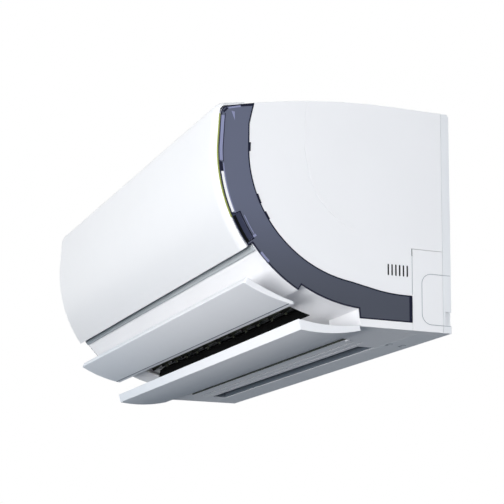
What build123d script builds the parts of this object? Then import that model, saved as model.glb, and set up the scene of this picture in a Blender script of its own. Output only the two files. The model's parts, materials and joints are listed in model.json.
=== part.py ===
from build123d import *
import os
from math import cos, radians, sin

# A wall-mounted indoor unit of a mini split air conditioner, with its air flaps open.
# X runs along the unit, Y towards the wall (the wall is y = 0) and Z up, in millimetres.
# Every piece is drawn with z = 0 at the underside. keep() then lowers it by PLATE_Z, so
# the origin of the finished part lies on the wall, in the middle of the wall plate.

# ---- overall sizes -------------------------------------------------------------------
WIDTH = 798.0            # over the two end covers
TOP = 295.0              # top of the unit above its underside
FACE_R = 212.0           # radius of the rounded front, seen from the end
FACE_SETBACK = 7.0       # the end covers stand this far behind the front panel
ARC_Y = -118.0           # centre of the rounded front, in front of the wall

REAR_DEPTH = 11.5        # depth of the rear casing's rim
SEAM = 0.5               # visible seam between covers
SEAT = 0.2               # clearance where one piece seats on another
CLOSE = 0.1              # clearance between pieces that are fixed face to face
RUN = 0.08               # radial clearance of a pin in its hole
SKIN = 2.6               # wall of the moulded covers

HALF = WIDTH / 2
END_R = FACE_R - FACE_SETBACK

# the top and the brow, where the rounded front turns over into the top
BROW_Y = ARC_Y - END_R + 2.5
BROW_Z = TOP - 30.5
BROW_R = 11.0
CROWN_Y = ARC_Y - 86.0
CROWN_Z = TOP - 8.0
FLAT_Y = ARC_Y + 38.0


def at(radius, angle):
    """The point (y, z) at this radius and angle about the centre of the rounded front.

    The angle is measured from straight down towards the front.
    """
    turn = radians(angle)
    return (ARC_Y - radius * sin(turn), FACE_R - radius * cos(turn))


# ---- end covers and trims ------------------------------------------------------------
END_WALL = 3.6           # wall of the end covers
RIM = 24.0               # rim that the end covers turn in over the top and the foot
RIM_LOW = 25.0           # top of the rim along the foot
RIM_HIGH = CROWN_Z - 24.0
INSIDE_X = HALF - END_WALL
CORE_X = HALF - RIM

TRIM_R = FACE_R - 47.5   # inner edge of the dark band, beside the panel
TRIM_LOW_R = FACE_R - 54.5
TRIM_LOW_Y = ARC_Y + 30.0
TRIM_LOW_Z = 45.0
TRIM_LOW_ANGLE = 9.0
TRIM_BEND = 220.0        # the inner edge bends this softly into its straight end
TRIM_TOP_ANGLE = 92.0
TRIM_TOP_Y = BROW_Y + 38.0
TRIM_TOP_Z = BROW_Z - 18.0
TRIM_FLARE = 15.0        # the band widens towards the top
TRIM_BACK = -56.0        # the band ends square here
TRIM_FOOT_Z = 10.0
TRIM_DEPTH = 2.0
LENS_LOW = 54.5
LENS_HIGH = 65.0
LENS_W = 11.0

SLOTS = 6
SLOT_PITCH = 5.4
SLOT_W = 2.2
SLOT_FIRST_Y = -90.0
SLOT_LOW = 69.0
SLOT_HIGH = 84.0
SERVICE_TOP = 107.0
KNOCK_OUT_Y = 42.5
KNOCK_OUT_LOW = 9.0
KNOCK_OUT_HIGH = 76.0
KNOCK_OUT_R = 14.0
LINE_W = 0.8
LINE_DEPTH = 0.8

# ---- front panel ---------------------------------------------------------------------
PANEL_LOW = 53.0         # angle of its lower edge
PANEL_GAP = 2.0          # the panel is this much shorter at each end than the unit
PANEL_X = HALF - PANEL_GAP
PANEL_T = 2.8
PANEL_ROUND = 5.5
PANEL_TOP_R = 16.0
PANEL_PIVOT = (BROW_Y + 29.5, BROW_Z + 6.5)
PANEL_PIN_R = 2.0
PANEL_BACK = BROW_Y + 31.5
PANEL_SWING = 6.5        # gap behind the panel, through which its top edge swings
PANEL_LIP = 0.9          # depth of the lip along the lower edge, in degrees
TOP_SLOPE = 0.2
ARM_X = CORE_X - 6.5     # outer face of the panel's hinge arms
ARM_T = 4.0
ARM_REACH = 5.0

# ---- lower front ---------------------------------------------------------------------
STRIP_ANGLE = 2.3        # width of the silver strip
STRIP_T = 2.5
SKIN_R = FACE_R - 14.0   # white strip below the panel
LEAF_R = FACE_R - 22.0   # white skin beside the air outlet
LEAF_ANGLE = 29.0        # the strip's skin steps down to the leaf here
FOOT_ANGLE = 4.0         # the leaf ends here, at the foot
FOOT_Y = ARC_Y - 11.0    # front of the foot, at the underside
FOOT_TIP = at(LEAF_R, FOOT_ANGLE)[0] + SEAM

# air outlet
OUTLET_LEFT = -(HALF - 74.0)
OUTLET_RIGHT = HALF - 89.0
OUTLET_MID = (OUTLET_LEFT + OUTLET_RIGHT) / 2
MOUTH_LOW = 13.0
MOUTH_HIGH = 40.0
BULKHEAD_R = FACE_R - 28.0
BULKHEAD_T = 3.0
BULKHEAD_FOOT = 60.0
COIL_TOP_BACK = TOP - 80.0

# upper flap, drawn closed and kept open
UPPER_X = HALF - 11.0
UPPER_LOW = 28.8
UPPER_HIGH = 48.3
UPPER_T = 8.4
UPPER_TAIL = 4.0
UPPER_PIVOT = at(FACE_R - 17.0, 26.83)
UPPER_OPEN = 20.0
ARM_PLATE = 4.0
EYE_R = 4.0              # lugs and arms round the upper flap's pins

# lower flap, drawn closed and kept open
LOWER_X = HALF - 1.0
LOWER_HIGH = 25.8
LOWER_T = 12.5
LOWER_TAIL = 7.0
LOWER_PIVOT = (ARC_Y + 7.0, 6.3)
LOWER_OPEN = 18.0
FLAP_PIN_R = 2.5
TONGUE_R = 5.5
TONGUE_GAP = 0.8
TONGUE_SHORT = 5.8       # the hinge's tongue ends this far before the outlet's right end
FLAP_ROUND = 3.0

# ---- underside -----------------------------------------------------------------------
HINGE_BACK = LOWER_PIVOT[0] + 7.2
HINGE_TOP = 18.0
BOTTOM_BACK = -39.0
BOTTOM_T = 3.0
GROOVE_LEFT = OUTLET_LEFT - 5.0
GROOVE_RIGHT = OUTLET_RIGHT - 54.0
GROOVE_W = 2.0
GROOVE_DEPTH = 1.2
RECESS_FRONT = -66.0
RECESS_DEPTH = 9.0

# ---- top -----------------------------------------------------------------------------
GRILLE_BACK = -34.0
GRILLE_FRONT = BROW_Y + 58.5
GRILLE_BARS = 19
GRILLE_CELLS = 5
GRILLE_RIB = 5.0
BAR_T = 2.4

# ---- inner frame and filters ---------------------------------------------------------
FRAME_INSET = SKIN + 1.2
FRAME_BACK = BROW_Y + 58.5
FRAME_LOW = PANEL_LOW + 6.1
FRAME_WINDOWS = 4
FRAME_RIB = 9.0          # half of a rib between two windows
BOSS_R = 3.0
CHEEK = 6.0
CHEEK_T = 4.0

FILTER_R = FACE_R - 24.0
FILTER_T = 1.8
FILTER_BACK = -44.0
FILTER_ROWS = 6
FILTER_COLUMNS = 5
FILTER_RIB = 4.0
FILTER_EDGE = 3.0
FILTER_TOP_Y = BROW_Y + 58.5
FILTER_TOP_Z = TOP - 29.0
FILTER_BEND = FILTER_TOP_Z - FACE_R - 8.0
FILTER_LOW = 62.0
FILTER_RISE = 14.0       # rise of the filter from the brow to its rear end
FILTER_OVER = 2.0        # the filters reach this far over the bulkheads

# ---- fan -----------------------------------------------------------------------------
FAN_Y = ARC_Y - 30.0
FAN_Z = FACE_R - 66.0
FAN_AXIS = (FAN_Y, FAN_Z)
FAN_R = 58.0
FAN_RING = 1.6           # the rings stand this far outside the blades
FAN_OUTER_R = FAN_R + FAN_RING
FAN_INNER_R = 44.0
FAN_LEFT = OUTLET_LEFT + 7.0
FAN_RIGHT = OUTLET_RIGHT - 14.0
FAN_BLADES = 34
FAN_BLADE_T = 1.1
FAN_BLADE_RISE = 3.2
FAN_BLADE_TIP = 11.0
FAN_CELLS = 6
FAN_DISC_T = 2.4
SHAFT_R = 4.0
BEARING_R = 11.0
MOTOR_R = 41.0
MOTOR_X = OUTLET_RIGHT + BULKHEAD_T + 4.0
MOTOR_LENGTH = 46.0
MOTOR_NOSE = 10.0
CLAMP_T = 4.0

GUIDE_CENTRE = (FAN_Y - 14.5, FAN_Z - 4.0)
GUIDE_R = 86.5           # the rear guide opens away from the fan towards the outlet
GUIDE_TOP = 39.0
GUIDE_LOW = -47.5
GUIDE_END = at(BULKHEAD_R + 1.5, 14.0)
RIB_PITCH = 132.0

# ---- heat exchanger and drain --------------------------------------------------------
COIL_T = 26.0
COIL_ROUND = 2.0
COIL_TOP = TOP - 41.0
COILS = {
    "front_lower": ((ARC_Y - FACE_R + 71.0, FACE_R - 16.0), (ARC_Y - FACE_R + 80.0, FACE_R - 101.5)),
    "front_upper": ((ARC_Y - 38.0, COIL_TOP), (ARC_Y - FACE_R + 78.0, FACE_R)),
    "rear": ((ARC_Y - 10.0, COIL_TOP), (ARC_Y + 78.0, FAN_Z + 50.0)),
}
TUBE_R = 3.5
HAIRPINS = 2             # bends on each fin pack
PLATE_SHEET = 1.2
COIL_LEFT = OUTLET_LEFT + SEAT + PLATE_SHEET
COIL_RIGHT = OUTLET_RIGHT - SEAT - PLATE_SHEET
BEND_R = 10.5
BEND_START = 4.0
GAS_PORT = 28.0          # gas pipe from the middle of the rear fin pack

PAN_TONGUE = (FAN_Y - 59.5, FAN_Z - 20.0)
PAN_REST = 18.0          # height of the pan's inner lip above the tongue
PAN_DEEP = 34.0          # depth of the trough below the tongue
PAN_WALL = 8.0
SPOUT_R = 8.0
SPOUT_WALL = 1.6
SPOUT_LENGTH = 26.0
SPOUT_AT = (-70.0, 66.0)

# ---- vanes ---------------------------------------------------------------------------
VANES_PER_GROUP = 6
VANE_FIRST = 31.0        # first vane of each group from the middle of the outlet
VANE_LAST = 31.5         # last vane of each group from the end of the outlet
VANE_PITCH = ((OUTLET_RIGHT - OUTLET_LEFT) / 2 - VANE_FIRST - VANE_LAST) / (VANES_PER_GROUP - 1)
VANE_T = 1.6
VANE_HEIGHT = 70.0
VANE_AHEAD = 26.0        # blade downstream of its pivot
VANE_BEHIND = 22.0       # foot of the blade upstream of its pivot
VANE_TOP_BEHIND = 8.0    # top of the blade upstream of its pivot
VANE_LIFT = 8.0          # blade above the rail
VANE_ARM = 18.0          # link pin upstream of the pivot
VANE_ROUND = 7.0
VANE_PIN_R = 2.0
LINK_PIN_R = 1.3
LINK_PLAY = 0.6
LINK_SWAY = 2.6          # how far a link pin swings out of line over the range
LINK_T = 1.8
LINK_LIFT = 3.2
RAIL_T = 5.0
RAIL_BACK = 9.0          # middle of the rail upstream of the end of the outlet's floor
RAIL_W = 12.0

# ---- wall plate ----------------------------------------------------------------------
PLATE_X = WIDTH - 298.0
PLATE_LOW = 55.0
PLATE_HIGH = TOP - 40.0
PLATE_T = 1.6
PLATE_HOLE_R = 2.6
PLATE_HOLE_X = PLATE_X - 100.0
PLATE_HOLE_Z = PLATE_HIGH - PLATE_LOW - 40.0
PLATE_Z = (PLATE_LOW + PLATE_HIGH) / 2
BEAD_LENGTH = 120.0
BEAD_W = 12.0
BEAD_T = 2.4
HOOK_W = 20.0
HOOK_AT = 65.0           # outer edge of a hook from the end of the plate

# ---- pipes and electrics -------------------------------------------------------------
GAS_R = 4.76
GAS_HEX = 20.0           # across the flats of the union
GAS_THREAD = 7.9         # radius of its threaded end
GAS_AT = (-28.0, 26.0)
GAS_END = OUTLET_RIGHT - 190.0
GAS_OUT = 45.0           # the pipe turns down this far beyond the fin pack
GAS_BEND = 14.0
LIQUID_R = 3.175
LIQUID_HEX = 15.0
LIQUID_THREAD = 5.55
LIQUID_AT = (-28.0, 50.0)
LIQUID_END = OUTLET_RIGHT - 160.0
LIQUID_OUT = 26.0
LIQUID_BEND = 10.0
UNION_HEX = 12.0         # length of a union's hexagon
UNION_THREAD = 15.0      # length of a union's threaded end

BOX_LOW = FAN_Z - 24.0
BOX_HIGH = TOP - 63.0
BOX_FRONT = ARC_Y - FACE_R + 46.0
BOX_BACK = FAN_Y - 59.0
BOX_X = OUTLET_RIGHT + BULKHEAD_T + SEAT
BOX_RIGHT = CORE_X - 8.0
BOX_T = 1.4
BOARD_T = 1.6
BOARD_LIFT = 6.0         # height of the posts under the board
TERMINALS = 5
STEPPER_R = 12.0
STEPPER_T = 18.0


# ---- drawing helpers -----------------------------------------------------------------
def arc(radius, start, end):
    return ThreePointArc(at(radius, start), at(radius, (start + end) / 2), at(radius, end))


def outline(*lines):
    """A flat outline in (y, z), closed by lines given in order."""
    return make_face([edge for line in lines for edge in line.edges()])


def curved_bar(inner, outer, start, end):
    return outline(
        arc(outer, start, end),
        Line(at(outer, end), at(inner, end)),
        arc(inner, end, start),
        Line(at(inner, start), at(outer, start)),
    )


def slab(face, x0, x1):
    """An outline in (y, z) carried along X from x0 to x1."""
    return extrude(Plane.YZ.offset(x0) * face, amount=x1 - x0)


def block(x0, x1, y0, y1, z0, z1):
    middle = Pos((x0 + x1) / 2, (y0 + y1) / 2, (z0 + z1) / 2)
    return middle * Box(abs(x1 - x0), abs(y1 - y0), abs(z1 - z0))


def rod(radius, x0, x1, centre):
    """A round bar along X about the point centre, given as (y, z)."""
    place = Pos((x0 + x1) / 2, centre[0], centre[1]) * Rot(0, 90, 0)
    return place * Cylinder(radius, abs(x1 - x0))


def disc(radius, centre):
    return Pos(centre[0], centre[1]) * Circle(radius)


def turned(shape, pivot, angle):
    """The shape turned about an X axis through the point pivot, given as (y, z)."""
    axis = Axis((0, pivot[0], pivot[1]), (1, 0, 0))
    return shape.rotate(axis, angle)


def both_ends(shape):
    return [shape, mirror(shape, about=Plane.YZ)]


def keep(name, *shapes):
    """Write one named piece, which may be a group of separate solids."""
    solids = [solid for shape in shapes for solid in shape.solids()]
    lowered = [Pos(0, 0, -PLATE_Z) * solid for solid in solids]
    export_step(Compound(children=lowered), f"parts/{name}.step")


# ---- outlines shared by several pieces -----------------------------------------------
def end_outline(inset, back):
    """The end of the unit seen along X, drawn in by inset and ending at y = back."""
    front = END_R - inset
    strip = SKIN_R - inset
    leaf = LEAF_R - inset
    brow = (BROW_Y + inset, BROW_Z - inset)
    face = outline(
        Polyline((back, inset), (FOOT_Y + inset, inset), at(leaf, FOOT_ANGLE)),
        arc(leaf, FOOT_ANGLE, LEAF_ANGLE),
        Line(at(leaf, LEAF_ANGLE), at(strip, LEAF_ANGLE)),
        arc(strip, LEAF_ANGLE, PANEL_LOW),
        Line(at(strip, PANEL_LOW), at(front, PANEL_LOW)),
        arc(front, PANEL_LOW, 90),
        Line(at(front, 90), brow),
        ThreePointArc(brow, (CROWN_Y, CROWN_Z - inset), (FLAT_Y, TOP - inset)),
        Polyline((FLAT_Y, TOP - inset), (back, TOP - inset), (back, inset)),
    )
    nose = face.vertices().sort_by_distance((brow[0], brow[1], 0))[0]
    return fillet(nose, BROW_R - inset)


def trim_outline(grow):
    """The dark band along the front of each end, widened by grow on its inner side."""
    low = at(TRIM_LOW_R - grow, TRIM_LOW_ANGLE)
    middle = at((TRIM_LOW_R + TRIM_R) / 2 - grow, (TRIM_LOW_ANGLE + TRIM_TOP_ANGLE) / 2)
    high = at(TRIM_R - grow, TRIM_TOP_ANGLE)
    lip = (TRIM_TOP_Y + TRIM_FLARE + grow, TOP + 20)
    inside = outline(
        Polyline((1, TRIM_LOW_Z + grow), (TRIM_LOW_Y, TRIM_LOW_Z + grow), low),
        ThreePointArc(low, middle, high),
        Line(high, (TRIM_TOP_Y + grow, TRIM_TOP_Z)),
        Polyline((TRIM_TOP_Y + grow, TRIM_TOP_Z), lip, (1, lip[1]), (1, TRIM_LOW_Z + grow)),
    )
    for y in (low[0], TRIM_LOW_Y):
        corner = inside.vertices().sort_by_distance((y, TRIM_LOW_Z, 0))[0]
        inside = fillet(corner, TRIM_BEND)
    band = end_outline(0, -1) - inside
    foot = Pos(TRIM_BACK / 2 + FOOT_Y / 2 - 3, 0) * Rectangle(
        TRIM_BACK - FOOT_Y + 6, 2 * (TRIM_FOOT_Z - grow)
    )
    rear = Pos(TRIM_BACK + grow + 100, TOP / 2) * Rectangle(200, 2 * TOP)
    return band - foot - rear


# ---- covers --------------------------------------------------------------------------


def end_shell():
    """End plate with a rim turned in over the top and along the foot."""
    back = -REAR_DEPTH - SEAM
    whole = slab(end_outline(0, back), HALF - RIM, HALF)
    hollow = slab(end_outline(SKIN, 5), HALF - RIM - 1, HALF - END_WALL)
    middle = block(HALF - RIM - 1, HALF - END_WALL, -WIDTH, 5, RIM_LOW, RIM_HIGH)
    front = block(HALF - RIM - 1, HALF - END_WALL, -WIDTH, FOOT_TIP, -5, RIM_HIGH)
    brow = block(HALF - RIM - 1, HALF - END_WALL, -WIDTH, PANEL_BACK + PANEL_SWING, 0, TOP + 5)
    notch = block(HALF - END_WALL - 1, PANEL_X + SEAM, PANEL_BACK - 5, PANEL_BACK + PANEL_SWING,
                  PANEL_PIVOT[1] - 4, TOP)
    return whole - hollow - middle - front - brow - notch


def service_zone(shrink):
    back = -REAR_DEPTH - SEAM
    return block(HALF - RIM - 5, HALF + 5, TRIM_BACK + shrink, back + 5, -5, SERVICE_TOP - shrink)


def knock_out_line():
    """Thin line round the part of the service cover that is cut out for the pipes."""
    middle = (KNOCK_OUT_LOW + KNOCK_OUT_HIGH) / 2
    height = KNOCK_OUT_HIGH - KNOCK_OUT_LOW
    outer = Pos(0, middle) * RectangleRounded(2 * KNOCK_OUT_Y, height, KNOCK_OUT_R)
    inner = Pos(0, middle) * RectangleRounded(
        2 * (KNOCK_OUT_Y - LINE_W), height - 2 * LINE_W, KNOCK_OUT_R - LINE_W
    )
    return slab(outer - inner, HALF - LINE_DEPTH, HALF + 1)


def sensor_slots():
    slot = SlotCenterToCenter(SLOT_HIGH - SLOT_LOW - SLOT_W, SLOT_W, rotation=90)
    middle = (SLOT_LOW + SLOT_HIGH) / 2
    row = [Pos(SLOT_FIRST_Y + i * SLOT_PITCH, middle) * slot for i in range(SLOTS)]
    return slab(Sketch() + row, HALF - END_WALL - 1, HALF + 1)


def seam_line():
    """The fine curved parting line on the face of each end cover."""
    bend = (ARC_Y - 72, FACE_R - 48)
    upper = ThreePointArc((CROWN_Y + 1, CROWN_Z - 1), (ARC_Y - 90, FACE_R + 24), bend)
    lower = ThreePointArc(bend, (ARC_Y - 48, FACE_R - 73), (ARC_Y - 16, FACE_R - 91))
    return slab(trace(Curve() + [upper, lower], LINE_W), HALF - LINE_DEPTH, HALF + 1)


def end_cover():
    recess = slab(trim_outline(SEAT), HALF - TRIM_DEPTH, HALF + 1)
    return end_shell() - recess - service_zone(0) - seam_line()


def service_cover():
    return (end_shell() & service_zone(SEAM)) - knock_out_line()


def side_trim():
    return slab(trim_outline(0), HALF - TRIM_DEPTH + CLOSE, HALF)


def receiver_lens(grow):
    """Small lens of the remote receiver, in the front edge of the right trim."""
    face = curved_bar(END_R - LENS_W - grow, END_R + grow, LENS_LOW - grow / 3, LENS_HIGH + grow / 3)
    return slab(face, HALF - TRIM_DEPTH + CLOSE - grow, HALF + grow)


def lower_cover():
    """White strip below the panel and the skin round the air outlet, in one moulding."""
    strip = curved_bar(SKIN_R - SKIN, SKIN_R, LEAF_ANGLE, PANEL_LOW + 6)
    leaf = curved_bar(LEAF_R - SKIN, LEAF_R, FOOT_ANGLE, LEAF_ANGLE + 1)
    step = curved_bar(LEAF_R - SKIN, SKIN_R, LEAF_ANGLE, LEAF_ANGLE + 1)
    skin = slab(strip + leaf + step, -INSIDE_X, INSIDE_X)
    mouth = curved_bar(LEAF_R - 3 * SKIN, SKIN_R + SKIN, MOUTH_LOW, MOUTH_HIGH)
    return skin - slab(mouth, OUTLET_LEFT, OUTLET_RIGHT) + hinge_roof() + hinge_lugs()


def hinge_roof():
    """The hollow over the lower flap's hinge."""
    front = at(LEAF_R - SKIN / 2, FOOT_ANGLE + 0.5)
    roof = outline(
        Polyline(front, (HINGE_BACK, HINGE_TOP), (HINGE_BACK, HINGE_TOP - SKIN),
                 (front[0], front[1] - SKIN / 2), front)
    )
    return slab(roof, OUTLET_LEFT, OUTLET_RIGHT - 5)


def hinge_lugs():
    """Two lugs on the skin beside the outlet, which carry the upper flap."""
    lug = disc(EYE_R, UPPER_PIVOT) + outline(
        Polyline(
            (UPPER_PIVOT[0] - EYE_R, UPPER_PIVOT[1]), at(LEAF_R - 1, 26), at(LEAF_R - 1, 21),
            (UPPER_PIVOT[0] + EYE_R * 0.6, UPPER_PIVOT[1] - EYE_R * 0.8),
            (UPPER_PIVOT[0] - EYE_R, UPPER_PIVOT[1]),
        )
    )
    left = slab(lug, OUTLET_LEFT - SKIN, OUTLET_LEFT)
    right = slab(lug, OUTLET_RIGHT, OUTLET_RIGHT + SKIN)
    return (left + right) - rod(FLAP_PIN_R + RUN, -HALF, HALF, UPPER_PIVOT)


def silver_strip():
    high = PANEL_LOW - 0.4
    face = curved_bar(SKIN_R + CLOSE, SKIN_R + CLOSE + STRIP_T, high - STRIP_ANGLE, high)
    return slab(face, -INSIDE_X, INSIDE_X)


def bottom_cover():
    """Underside between the flap and the rear casing, with a pipe recess and two grooves."""
    length = CORE_X - SEAM
    plate = block(-length, length, HINGE_BACK, BOTTOM_BACK - SEAM, 0, BOTTOM_T)
    plate += block(OUTLET_LEFT, OUTLET_RIGHT - 5, HINGE_BACK, HINGE_BACK + SKIN, 0,
                   HINGE_TOP - SKIN - SEAM)
    feet = foot_shell(OUTLET_RIGHT - 5, length) + foot_shell(-length, OUTLET_LEFT)
    tray = block(GROOVE_LEFT - SKIN, GROOVE_RIGHT + SKIN, RECESS_FRONT - SKIN,
                 BOTTOM_BACK - SEAM, 0, RECESS_DEPTH + SKIN)
    recess = block(GROOVE_LEFT, GROOVE_RIGHT, RECESS_FRONT, BOTTOM_BACK - SEAM - SKIN,
                   -1, RECESS_DEPTH)
    pins = rod(FLAP_PIN_R + RUN, -HALF, HALF, LOWER_PIVOT)
    solid = plate + feet + tray - recess - pins
    for y in (RECESS_FRONT - 22, RECESS_FRONT - 9):
        solid -= block(GROOVE_LEFT, GROOVE_RIGHT + 30, y, y + GROOVE_W, -1, GROOVE_DEPTH)
    return solid


def foot_shell(x0, x1):
    """Hollow foot beside the lower flap, with the bearings of its hinge."""
    top = at(LEAF_R - SKIN, FOOT_ANGLE)[1] - SEAM
    back = HINGE_BACK + SKIN
    side = outline(
        Polyline((FOOT_Y, 0), (back, 0), (back, top), (FOOT_TIP, top), (FOOT_Y, 0))
    )
    hollow = block(x0 + SKIN, x1 - SKIN, FOOT_Y + SKIN, HINGE_BACK + 9, SKIN, top + 1)
    return slab(side, x0, x1) - hollow


def top_strip(inset, y_from, y_to):
    """The part of the end outline that lies between two y values near the top."""
    keep_zone = Pos((y_from + y_to) / 2, TOP) * Rectangle(y_to - y_from, 80)
    return end_outline(inset, y_to + 1) & keep_zone


def top_cover():
    """Top of the unit with the air inlet grille."""
    front = PANEL_BACK + PANEL_SWING
    back = -REAR_DEPTH - SEAM
    length = CORE_X - SEAM
    upper = top_strip(0, front, back)
    sheet = slab(upper, -length, length)
    sheet -= slab(end_outline(SKIN, 5), -WIDTH, WIDTH)
    cell = (2 * length - 2 * GRILLE_RIB) / GRILLE_CELLS
    window = cell - GRILLE_RIB
    pitch = (GRILLE_BACK - GRILLE_FRONT) / GRILLE_BARS
    tool = Box(window, pitch - BAR_T, 80)
    cuts = [
        Pos(-length + GRILLE_RIB + cell * (i + 0.5), GRILLE_FRONT + pitch * (j + 0.5), TOP) * tool
        for i in range(GRILLE_CELLS)
        for j in range(GRILLE_BARS)
    ]
    return sheet - cuts


def rear_casing():
    """Back of the unit: a rim against the wall, the fan's rear guide and the outlet floor."""
    rim = block(-HALF, HALF, -REAR_DEPTH, 0, 0, TOP)
    rim = chamfer(rim.edges().filter_by(Axis.X).group_by(Axis.Z)[-1].sort_by(Axis.Y)[-1], 3)
    pocket = block(-HALF + 60, HALF - 60, -REAR_DEPTH + SKIN, 1, PLATE_LOW - 15, PLATE_HIGH + 15)
    notch = block(HALF - 3, HALF + 1, -8, 1, 10, 28)
    hook = -PLATE_X / 2 + HOOK_AT
    hooks = block(hook - 5, hook + HOOK_W + 5, -REAR_DEPTH - 1, 1, PLATE_HIGH - 3, PLATE_HIGH + 6)
    strip = block(-CORE_X, CORE_X, BOTTOM_BACK, -REAR_DEPTH + 1, 0, BOTTOM_T)
    back = rim - pocket - notch - both_ends(hooks) + strip
    floor = (GUIDE_END[0] + SKIN, GUIDE_END[1] - 1)
    guide = outline(
        guide_arc(0, GUIDE_TOP, GUIDE_LOW),
        Polyline(guide_at(0, GUIDE_LOW), GUIDE_END, floor, guide_at(SKIN, GUIDE_LOW)),
        guide_arc(SKIN, GUIDE_LOW, GUIDE_TOP),
        Line(guide_at(SKIN, GUIDE_TOP), guide_at(0, GUIDE_TOP)),
    )
    guide = slab(guide, OUTLET_LEFT - SKIN, OUTLET_RIGHT + SKIN)
    return back + guide + bulkheads() + ribs()


def guide_at(outside, angle):
    """Point of the fan's rear guide, at this distance outside its inner face."""
    turn = radians(angle)
    radius = GUIDE_R + outside
    return (GUIDE_CENTRE[0] + radius * cos(turn), GUIDE_CENTRE[1] + radius * sin(turn))


def guide_arc(outside, start, end):
    middle = guide_at(outside, (start + end) / 2)
    return ThreePointArc(guide_at(outside, start), middle, guide_at(outside, end))


def bulkheads():
    """Walls at both ends of the fan and the fin packs, which close the air path."""
    edge = filter_path(FILTER_T / 2 + SEAT)
    start, end = edge @ 0, edge @ 1
    rear = -REAR_DEPTH + 1
    low = [(rear, BULKHEAD_FOOT), (-100, BULKHEAD_FOOT), at(BULKHEAD_R, MOUTH_LOW + 2)]
    wall = outline(
        edge,
        Polyline((end.X, end.Y), (rear, COIL_TOP_BACK), *low),
        arc(BULKHEAD_R, MOUTH_LOW + 2, MOUTH_HIGH),
        Polyline(at(BULKHEAD_R, MOUTH_HIGH), at(BULKHEAD_R - 1, PANEL_LOW), (start.X, start.Y)),
    )
    left = slab(wall, OUTLET_LEFT - BULKHEAD_T, OUTLET_LEFT)
    right = slab(wall, OUTLET_RIGHT, OUTLET_RIGHT + BULKHEAD_T)
    left -= [bend_slot(centre, unit) for centre, unit in hairpin_places()]
    right -= rod(GAS_R + SEAM, 0, HALF, coil_port("rear", GAS_PORT))
    right -= rod(LIQUID_R + SEAM, 0, HALF, coil_port("rear", 0))
    bore = rod(BEARING_R, -HALF, HALF, FAN_AXIS)
    return (left + right) - bore


def ribs():
    """Upright webs that join the fan's rear guide to the back wall."""
    rear = -REAR_DEPTH + 1
    web = outline(
        guide_arc(SKIN / 2, 30, -30),
        Polyline(guide_at(SKIN / 2, -30), (rear, 70), (rear, 165), guide_at(SKIN / 2, 30)),
    )
    places = [OUTLET_MID + RIB_PITCH * (i - 1.5) for i in range(4)]
    return [slab(web, x, x + BAR_T) for x in places]


# ---- front panel ---------------------------------------------------------------------


def panel_face(inset):
    """Front and brow of the panel, drawn in by inset and open towards the inside."""
    grow = FACE_SETBACK - inset
    radius = FACE_R - inset
    low = PANEL_LOW + (PANEL_LIP if inset else 0)
    brow = (BROW_Y - grow, BROW_Z + grow)
    rear = (PANEL_BACK, BROW_Z + (PANEL_BACK - BROW_Y) * TOP_SLOPE + grow)
    deep = TRIM_R
    face = outline(
        arc(radius, low, 90),
        Polyline(at(radius, 90), brow, rear, (PANEL_BACK, FACE_R), at(deep, 75), at(deep, low),
                 at(radius, low)),
    )
    nose = face.vertices().sort_by_distance((brow[0], brow[1], 0))[0]
    return fillet(nose, PANEL_TOP_R - inset)


def edge_is_front(edge, inside):
    """True for the outer edges of the panel's end, which are rounded."""
    middle = edge.position_at(0.5)
    gap = inside.distance_to(Vertex(middle.Y, middle.Z, 0))
    return gap > FACE_SETBACK / 2 - SEAM and middle.Y < PANEL_BACK - 1


def front_panel():
    """Glossy panel: one curved shell with rounded ends and a lip along its lower edge."""
    whole = slab(panel_face(0) - end_outline(-SEAM, 0), -PANEL_X, PANEL_X)
    ends = whole.faces().filter_by(Axis.X)
    inside = end_outline(-SEAM - 1, 0)
    rims = [edge for face in ends for edge in face.edges() if edge_is_front(edge, inside)]
    whole = fillet(rims, PANEL_ROUND)
    behind = Pos(PANEL_PIVOT[0] + 20 - 1, FACE_R) * Rectangle(40, 2 * TOP)
    open_top = slab(panel_face(PANEL_T) & behind, -WIDTH, WIDTH)
    return whole - slab(panel_face(PANEL_T), -PANEL_X + PANEL_T, PANEL_X - PANEL_T) - open_top


def panel_arms():
    """Two hinge arms inside the top corners, with pins that turn in the inner frame."""
    near = Pos(PANEL_BACK - 12, PANEL_PIVOT[1] + 7) * Rectangle(24, 20)
    arm = slab(panel_face(PANEL_T) & near, ARM_X - ARM_T, ARM_X)
    return both_ends(arm + rod(PANEL_PIN_R, ARM_X, ARM_X + ARM_REACH, PANEL_PIVOT))


# ---- inner frame and filters ---------------------------------------------------------


def inner_frame():
    """Frame behind the front panel, with four windows in front of the air filters."""
    front = end_outline(FRAME_INSET, 0) - end_outline(FRAME_INSET + SKIN, 5)
    zone = outline(
        Polyline(at(FACE_R + 48, FRAME_LOW), at(TRIM_R, FRAME_LOW), (FRAME_BACK, FACE_R - 12),
                 (FRAME_BACK, TOP), (BROW_Y - 60, TOP), at(FACE_R + 48, FRAME_LOW))
    )
    length = CORE_X - SEAT
    shell = slab(front & zone, -length, length)
    cell = 2 * length / FRAME_WINDOWS
    low, high = FRAME_LOW + 6, 86
    outside = END_R + FACE_SETBACK
    hole = outline(arc(outside, low, high), Polyline(
        at(outside, high), (FRAME_BACK + 2, FACE_R + 13), at(TRIM_R, low), at(outside, low)))
    starts = [-length + cell * i for i in range(FRAME_WINDOWS)]
    windows = [slab(hole, x + FRAME_RIB, x + cell - FRAME_RIB) for x in starts]
    cheek = (end_outline(FRAME_INSET, 0) - end_outline(FRAME_INSET + CHEEK, 5)) & zone
    cheek += disc(BOSS_R, PANEL_PIVOT) + Pos(PANEL_PIVOT[0], PANEL_PIVOT[1] - 5) * Rectangle(
        2 * BOSS_R, 10
    )
    cheeks = both_ends(slab(cheek, length - CHEEK_T, length))
    bores = rod(PANEL_PIN_R + RUN, -HALF, HALF, PANEL_PIVOT)
    return shell - windows + cheeks - bores


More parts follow.
